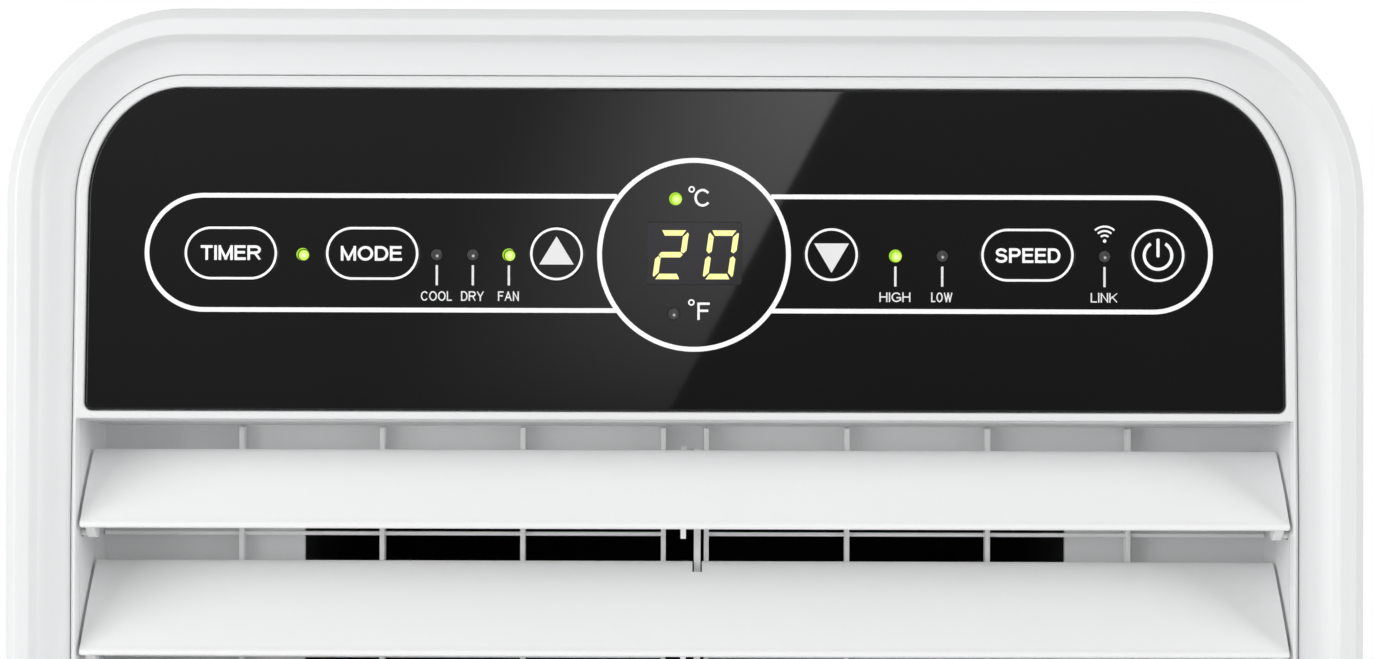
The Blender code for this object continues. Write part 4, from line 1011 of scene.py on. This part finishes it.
def segments(width, height, thick):
    """The seven outlines of a lamp digit in a box with a corner at zero."""
    middle = height / 2
    tip = 0.8
    top = [(tip, height), (width - tip, height), (width - tip - 0.6 * thick, height - thick)]
    top.append((tip + 0.6 * thick, height - thick))
    inner = width - thick
    side = [(width - 0.3, height - 0.6), (width, height - 1.0), (width, middle + 1.1)]
    side += [(width - thick / 2, middle + 0.35), (inner, middle + 0.85), (inner, height - 1.75)]
    bar = [(tip, middle), (tip + 0.6, middle + thick / 2), (width - tip - 0.6, middle + thick / 2)]
    bar += [(width - tip, middle), (width - tip - 0.6, middle - thick / 2), (tip + 0.6, middle - thick / 2)]
    return {
        "a": top,
        "b": side,
        "c": [(x, height - z) for x, z in side],
        "d": [(x, height - z) for x, z in top],
        "e": [(width - x, height - z) for x, z in side],
        "f": [(width - x, z) for x, z in side],
        "g": bar,
    }


def digits():
    low = 630.55
    slant = math.tan(math.radians(8))
    shapes = segments(7.8, 12.65, 1.42)
    for place, used, left in ((1, "abdeg", -8.6), (2, "abcdef", 4.35)):
        outlines = [[(left + x + z * slant, low + z) for x, z in shapes[letter]] for letter in used]
        printed(f"digit_{place}", outlines, look=SEGMENTS, front=OVERLAY_FRONT - 0.03)


# ---- air outlet


def slat_point(lip_z, along, behind):
    """The y and z of a point on a slat at rest, from its lip: up along it, and behind its front face."""
    y = SLAT_LIP_Y + along * math.sin(SLAT_TILT) + behind * math.cos(SLAT_TILT)
    z = lip_z + along * math.cos(SLAT_TILT) - behind * math.sin(SLAT_TILT)
    return y, z


def vent_guard():
    depth = (-132.0, VENT_BACK - GAP)
    ribs = [((x - 0.65, x + 0.65), depth, (495.4, 591.0)) for x in [-x for x in RIB_X] + list(RIB_X)]
    rail = ((-RIB_X[-1] - 0.9, RIB_X[-1] + 0.9), (-131.0, VENT_BACK - GAP - 0.3), (495.0, 497.8))
    bars = []
    for z in (529.3, 562.3):
        for side in (-1, 1):
            ends = sorted((side * (RIB_X[0] + 0.1), side * (VENT_HALF - 0.6)))
            bars.append((ends, (-130.6, -128.4), (z - 0.5, z + 0.5)))
    edits = ((JOIN, boxes(*ribs)), (JOIN, boxes(*bars)))
    piece("guard_ribs", boxes(rail), "case_white", edits, node="vent_guard", look=LIGHTENED_WHITE, bevel=0.22)


def slat(name, lip_z, chord):
    def section(points):
        return [slat_point(lip_z, along, behind) for along, behind in points]

    blade = [(0.3, 0.2), (0.0, -0.7), (0.8, -1.3), (2.2, -1.25), (5.0, -1.35), (chord * 0.5, -1.7)]
    blade += [(chord - 5.0, -1.4), (chord - 1.2, -1.0), (chord - 0.1, -0.35), (chord - 0.1, 0.3)]
    blade += [(chord - 1.2, 0.75), (chord - 5.0, 0.65), (chord * 0.5, 0.4), (5.0, 0.75), (2.2, 0.95)]
    blade.append((1.2, 0.9))
    outline = closed_curve(section(blade), 4)
    y0, z0 = section([(chord / 2, -0.4)])[0]
    half = SLAT_HALF
    rings = []
    for x, share in ((-half, 0.985), (0.3 - half, 1.0), (half - 0.3, 1.0), (half, 0.985)):
        rings.append([(x, y0 + (y - y0) * share, z0 + (z - z0) * share) for y, z in outline])
    lugs = bmesh.new()
    pivot_lug = section([(1.6, -0.2), (8.5, -0.2)] + arc(PIVOT, (1.7, 1.7), 0, 180, 16))
    for x in ((-155.4, -153.0), (-1.1, 0.3), (153.0, 155.4)):
        add_hull(lugs, pivot_lug, "X", *x)
    tip = min(chord, LINK_PIN[0] + 1.7) - 0.9
    link_lug = hull(section([(tip - 5.0, -0.2), (tip, -0.2)] + circle(LINK_PIN, 1.7, 24)), "X", -1.0, 0.5)
    pivot = slat_point(lip_z, *PIVOT)
    pins = rods("X", [pivot], 1.2, 154.0, half + 2.4)
    add_rod(pins, "X", pivot, 1.2, -half - 2.4, -154.0)
    edits = [(JOIN, lugs), (JOIN, link_lug), (JOIN, pins)]
    edits.append((CUT, rods("X", [slat_point(lip_z, *LINK_PIN)], 1.2, -2.0, 1.5)))
    if chord > LINK_PIN[0]:
        corners = [(27.7, -3.0), (chord + 1, -3.0), (chord + 1, 3.0), (27.7, 3.0)]
        edits.append((CUT, prism(section(corners), "X", LINK_X[0] - 0.35, LINK_X[1] + 0.35)))
    body = name + "_slat"
    piece("blade_" + name, loft(rings), "case_white", edits, body=body, node="slat_" + name, look=LIGHTENED_WHITE)


def slat_link():
    pins = [slat_point(lip, *LINK_PIN) for lip, _ in SLATS.values()]
    top, bottom = pins[0], pins[-1]
    rod = boxes((LINK_X, (top[0] - 1.0, top[0] + 1.0), (bottom[1] - 1.8, top[1] + 0.9)))
    edits = ((JOIN, rods("X", pins, 0.8, -1.0, LINK_X[0] + 0.5)),)
    piece("link_rod", rod, "case_white", edits, body="slat_rod", node="slat_link", bevel=0.15)


# ---- back


def intake_grille(which, height):
    low, high = height
    half = INTAKE_HALF - 0.4
    border = 8.0
    reach = half - border
    opening = inset_rectangle((-reach, reach), (low + border, high - border), 3.0)
    window = flared(opening, "Y", 152.0, REAR_WALL + 0.6, REAR_WALL + 3, 0.5)
    rows = round((high - low - 2 * border) / 7.6)
    pitch = (high - low - 2 * border) / rows
    louvres = bmesh.new()
    for row in range(rows):
        z = low + border + pitch * (row + 0.5)
        section = [(154.5, z + 1.9), (155.0, z + 2.3), (158.0, z - 0.4), (158.25, z - 1.0), (158.0, z - 1.6)]
        section += [(157.2, z - 1.6), (154.6, z + 0.6)]
        add_prism(louvres, section, "X", -reach - 1, reach + 1)
    tall = (low + border - 1, high - border + 1)
    uprights = boxes(*[((x - 1.2, x + 1.2), (154.6, 157.0), tall) for x in (-79, -39.5, 0, 39.5, 79)])
    plate = inset_rectangle((-half, half), (low + 0.4, high - 0.4), 5.6)
    grille = rounded(plate, "Y", 154.4, REAR_WALL + 0.6, 0.5)
    edits = ((CUT, window), (JOIN, louvres), (JOIN, uprights))
    node = which + "_intake_grille"
    piece(which + "_grille", grille, "case_white", edits, body=which + "_cassette", node=node)


def exhaust_collar():
    outer = EXHAUST_RADIUS
    inner = outer - 3.0
    wall = REAR_WALL
    profile = [(inner, 169.4), (inner + 0.6, 170.0), (outer - 0.8, 170.0), (outer - 0.1, 169.5)]
    profile += [(outer, 168.6), (outer + 0.7, 168.0), (outer + 0.7, 167.0), (outer, 166.4)]
    profile += [(outer, wall + 2.9), (outer + 0.6, wall + 2.3), (outer + 8.4, wall + 2.3)]
    profile += [(outer + 9.0, wall + 1.7), (outer + 9.0, wall + GAP), (outer + 2, wall + GAP)]
    profile += [(outer + 2, 147.0), (0.0, 147.0), (0.0, 149.0), (inner - 1.0, 149.0), (inner, 150.0)]
    edits = ((CUT, boxes(((-52.0, 52.0), (143.0, 151.0), (287.0, 357.0)))),)
    collar = turned(profile, "Y", (0.0, EXHAUST_Z), 96)
    piece("hose_collar", collar, "case_white", edits, node="exhaust_collar")


def drain_plug(which, centre):
    x, z = centre
    wall = REAR_WALL
    profile = [(0.0, 152.0), (4.4, 152.0), (5.0, 152.8), (5.0, wall + 0.6), (10.6, wall + 0.6)]
    profile += [(11.0, wall + 1.1), (11.0, wall + 2.4), (10.5, wall + 3.4), (9.2, wall + 4.0)]
    profile += [(8.0, wall + 4.2), (0.0, wall + 4.2)]

    def side(inset):
        return rectangle((wall + 3.5, wall + 8.0 - inset), (z - 6.0 + inset, z + 6.0 - inset), 1.8, 6)

    edits = ((JOIN, rounded(side, "X", x - 1.5, x + 1.5, 0.5, 3, True)),)
    bung = turned(profile, "Y", centre, 40)
    piece(which + "_bung", bung, "rubber_black", edits, body=which + "_plug", node=which + "_drain_plug")


def cord_inlet():
    wall = REAR_WALL
    profile = [(3.6, 150.0), (6.5, 150.0), (6.5, wall + GAP), (9.8, wall + GAP), (10.0, wall + 0.8)]
    profile += [(9.7, wall + 2.2), (8.8, wall + 3.4), (7.4, wall + 4.0), (4.2, wall + 4.0), (3.6, wall + 3.5)]
    piece("cord_bush", turned(profile, "Y", INLET, 40), "rubber_black", node="cord_inlet")


def screws():
    """Cross-head screws in the rear cover's recesses. They share one mesh."""
    base = SCREW_SEAT
    head = [(0.0, base - 3.0), (1.4, base - 3.0), (1.4, base), (3.7, base), (3.7, base + 0.7)]
    head += [(3.3, base + 1.3), (2.4, base + 1.7), (1.2, base + 1.9), (0.0, base + 1.95)]
    x, z = SCREWS[0]
    deep = (base + 0.7, base + 3)
    slots = [((x - w, x + w), deep, (z - h, z + h)) for w, h in ((1.7, 0.32), (0.32, 1.7))]
    edits = [(CUT, boxes(slot)) for slot in slots]
    screw = turned(head, "Y", (x, z), 32)
    first = piece("rear_screw_1", screw, "steel_grey", edits, origin=(x, base, z), angle=40)
    for number, (x, z) in enumerate(SCREWS[1:], 2):
        made = bpy.data.objects.new(f"rear_screw_{number}", first.data)
        scene.collection.objects.link(made)
        made.location = Vector((x, base, z)) * MM
        made.rotation_euler = (0.0, 0.4 * number, 0.0)
        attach(made, "cabinet")


# ---- casters


def caster(corner, x, y):
    axle = (y + CASTER_TRAIL, AXLE_Z)
    disc = [(0.0, 43.5), (12.4, 43.5), (13.0, 44.1), (13.0, 46.2), (12.4, 47.0), (11.2, 47.7), (0.0, 47.7)]
    cheeks = bmesh.new()
    outline = [(y - 9.0, 45.0), (y + 9.0, 45.0), (y - 9.0, 40.0)] + circle(axle, 5.0, 32)
    for side in (-1, 1):
        add_hull(cheeks, outline, "X", *sorted((x + side * 8.8, x + side * 10.8)))
    rivets = rods("X", [axle], 2.9, x - 11.5, x - 10.0)
    add_rod(rivets, "X", axle, 2.9, x + 10.0, x + 11.5)
    stem = rods("Z", [(x, y)], 5.0, 45.5, 62.0)
    pin = rods("X", [axle], 2.5, x - 10.2, x + 10.2)
    edits = ((JOIN, cheeks), (JOIN, stem), (JOIN, pin), (JOIN, rivets))
    fork = turned(disc, "Z", (x, y), 40)
    piece("fork_" + corner, fork, "caster_grey", edits, body=corner + "_fork", node="caster_fork_" + corner)
    left = x - 8.2
    radius = AXLE_Z
    profile = [(3.0, x + 7.2), (3.0, left + 1.0), (6.0, left + 1.0), (6.6, left)]
    profile += [(9.0, left), (9.6, left + 1.2), (11.6, left + 1.2), (12.2, left)]
    profile += [(radius - 2.6, left), (radius - 1.1, left + 0.5), (radius - 0.25, left + 1.7)]
    profile += [(radius, left + 3.2)]
    profile += [(r, 2 * x - along) for r, along in profile[::-1]]
    wheel = turned(profile, "X", axle, 64)
    node = "caster_wheel_" + corner
    piece("wheel_" + corner, wheel, "rubber_black", body=corner + "_wheel", node=node, angle=40)


# ---- the whole


def main():
    camera()
    lights()
    world()
    floor()
    reflection_card()
    for entry in frame["record"]["subparts"]:
        data = nodes[entry["node"]].data
        data.materials.clear()
        data.materials.append(LOOKS[entry["material_slot"]])
    front_frame()
    front_bezel()
    lower_front_panel()
    side_panel("left_side_panel", -1)
    side_panel("right_side_panel", 1)
    hand_grip("left_hand_grip", -1)
    hand_grip("right_hand_grip", 1)
    top_cover()
    rear_cover()
    base_tray()
    control_overlay()
    for name, (x, width) in KEYS.items():
        key(name, x, width)
    display()
    lamp_lenses()
    long_outline()
    key_rings()
    symbols()
    words()
    digits()
    vent_guard()
    for name, (lip_z, chord) in SLATS.items():
        slat(name, lip_z, chord)
    slat_link()
    intake_grille("upper", UPPER_INTAKE_Z)
    intake_grille("lower", LOWER_INTAKE_Z)
    exhaust_collar()
    for which, centre in DRAINS.items():
        drain_plug(which, centre)
    cord_inlet()
    screws()
    for corner, (x, y) in CASTERS.items():
        caster(corner, x, y)
    scene.view_settings.view_transform = "Standard"


main()
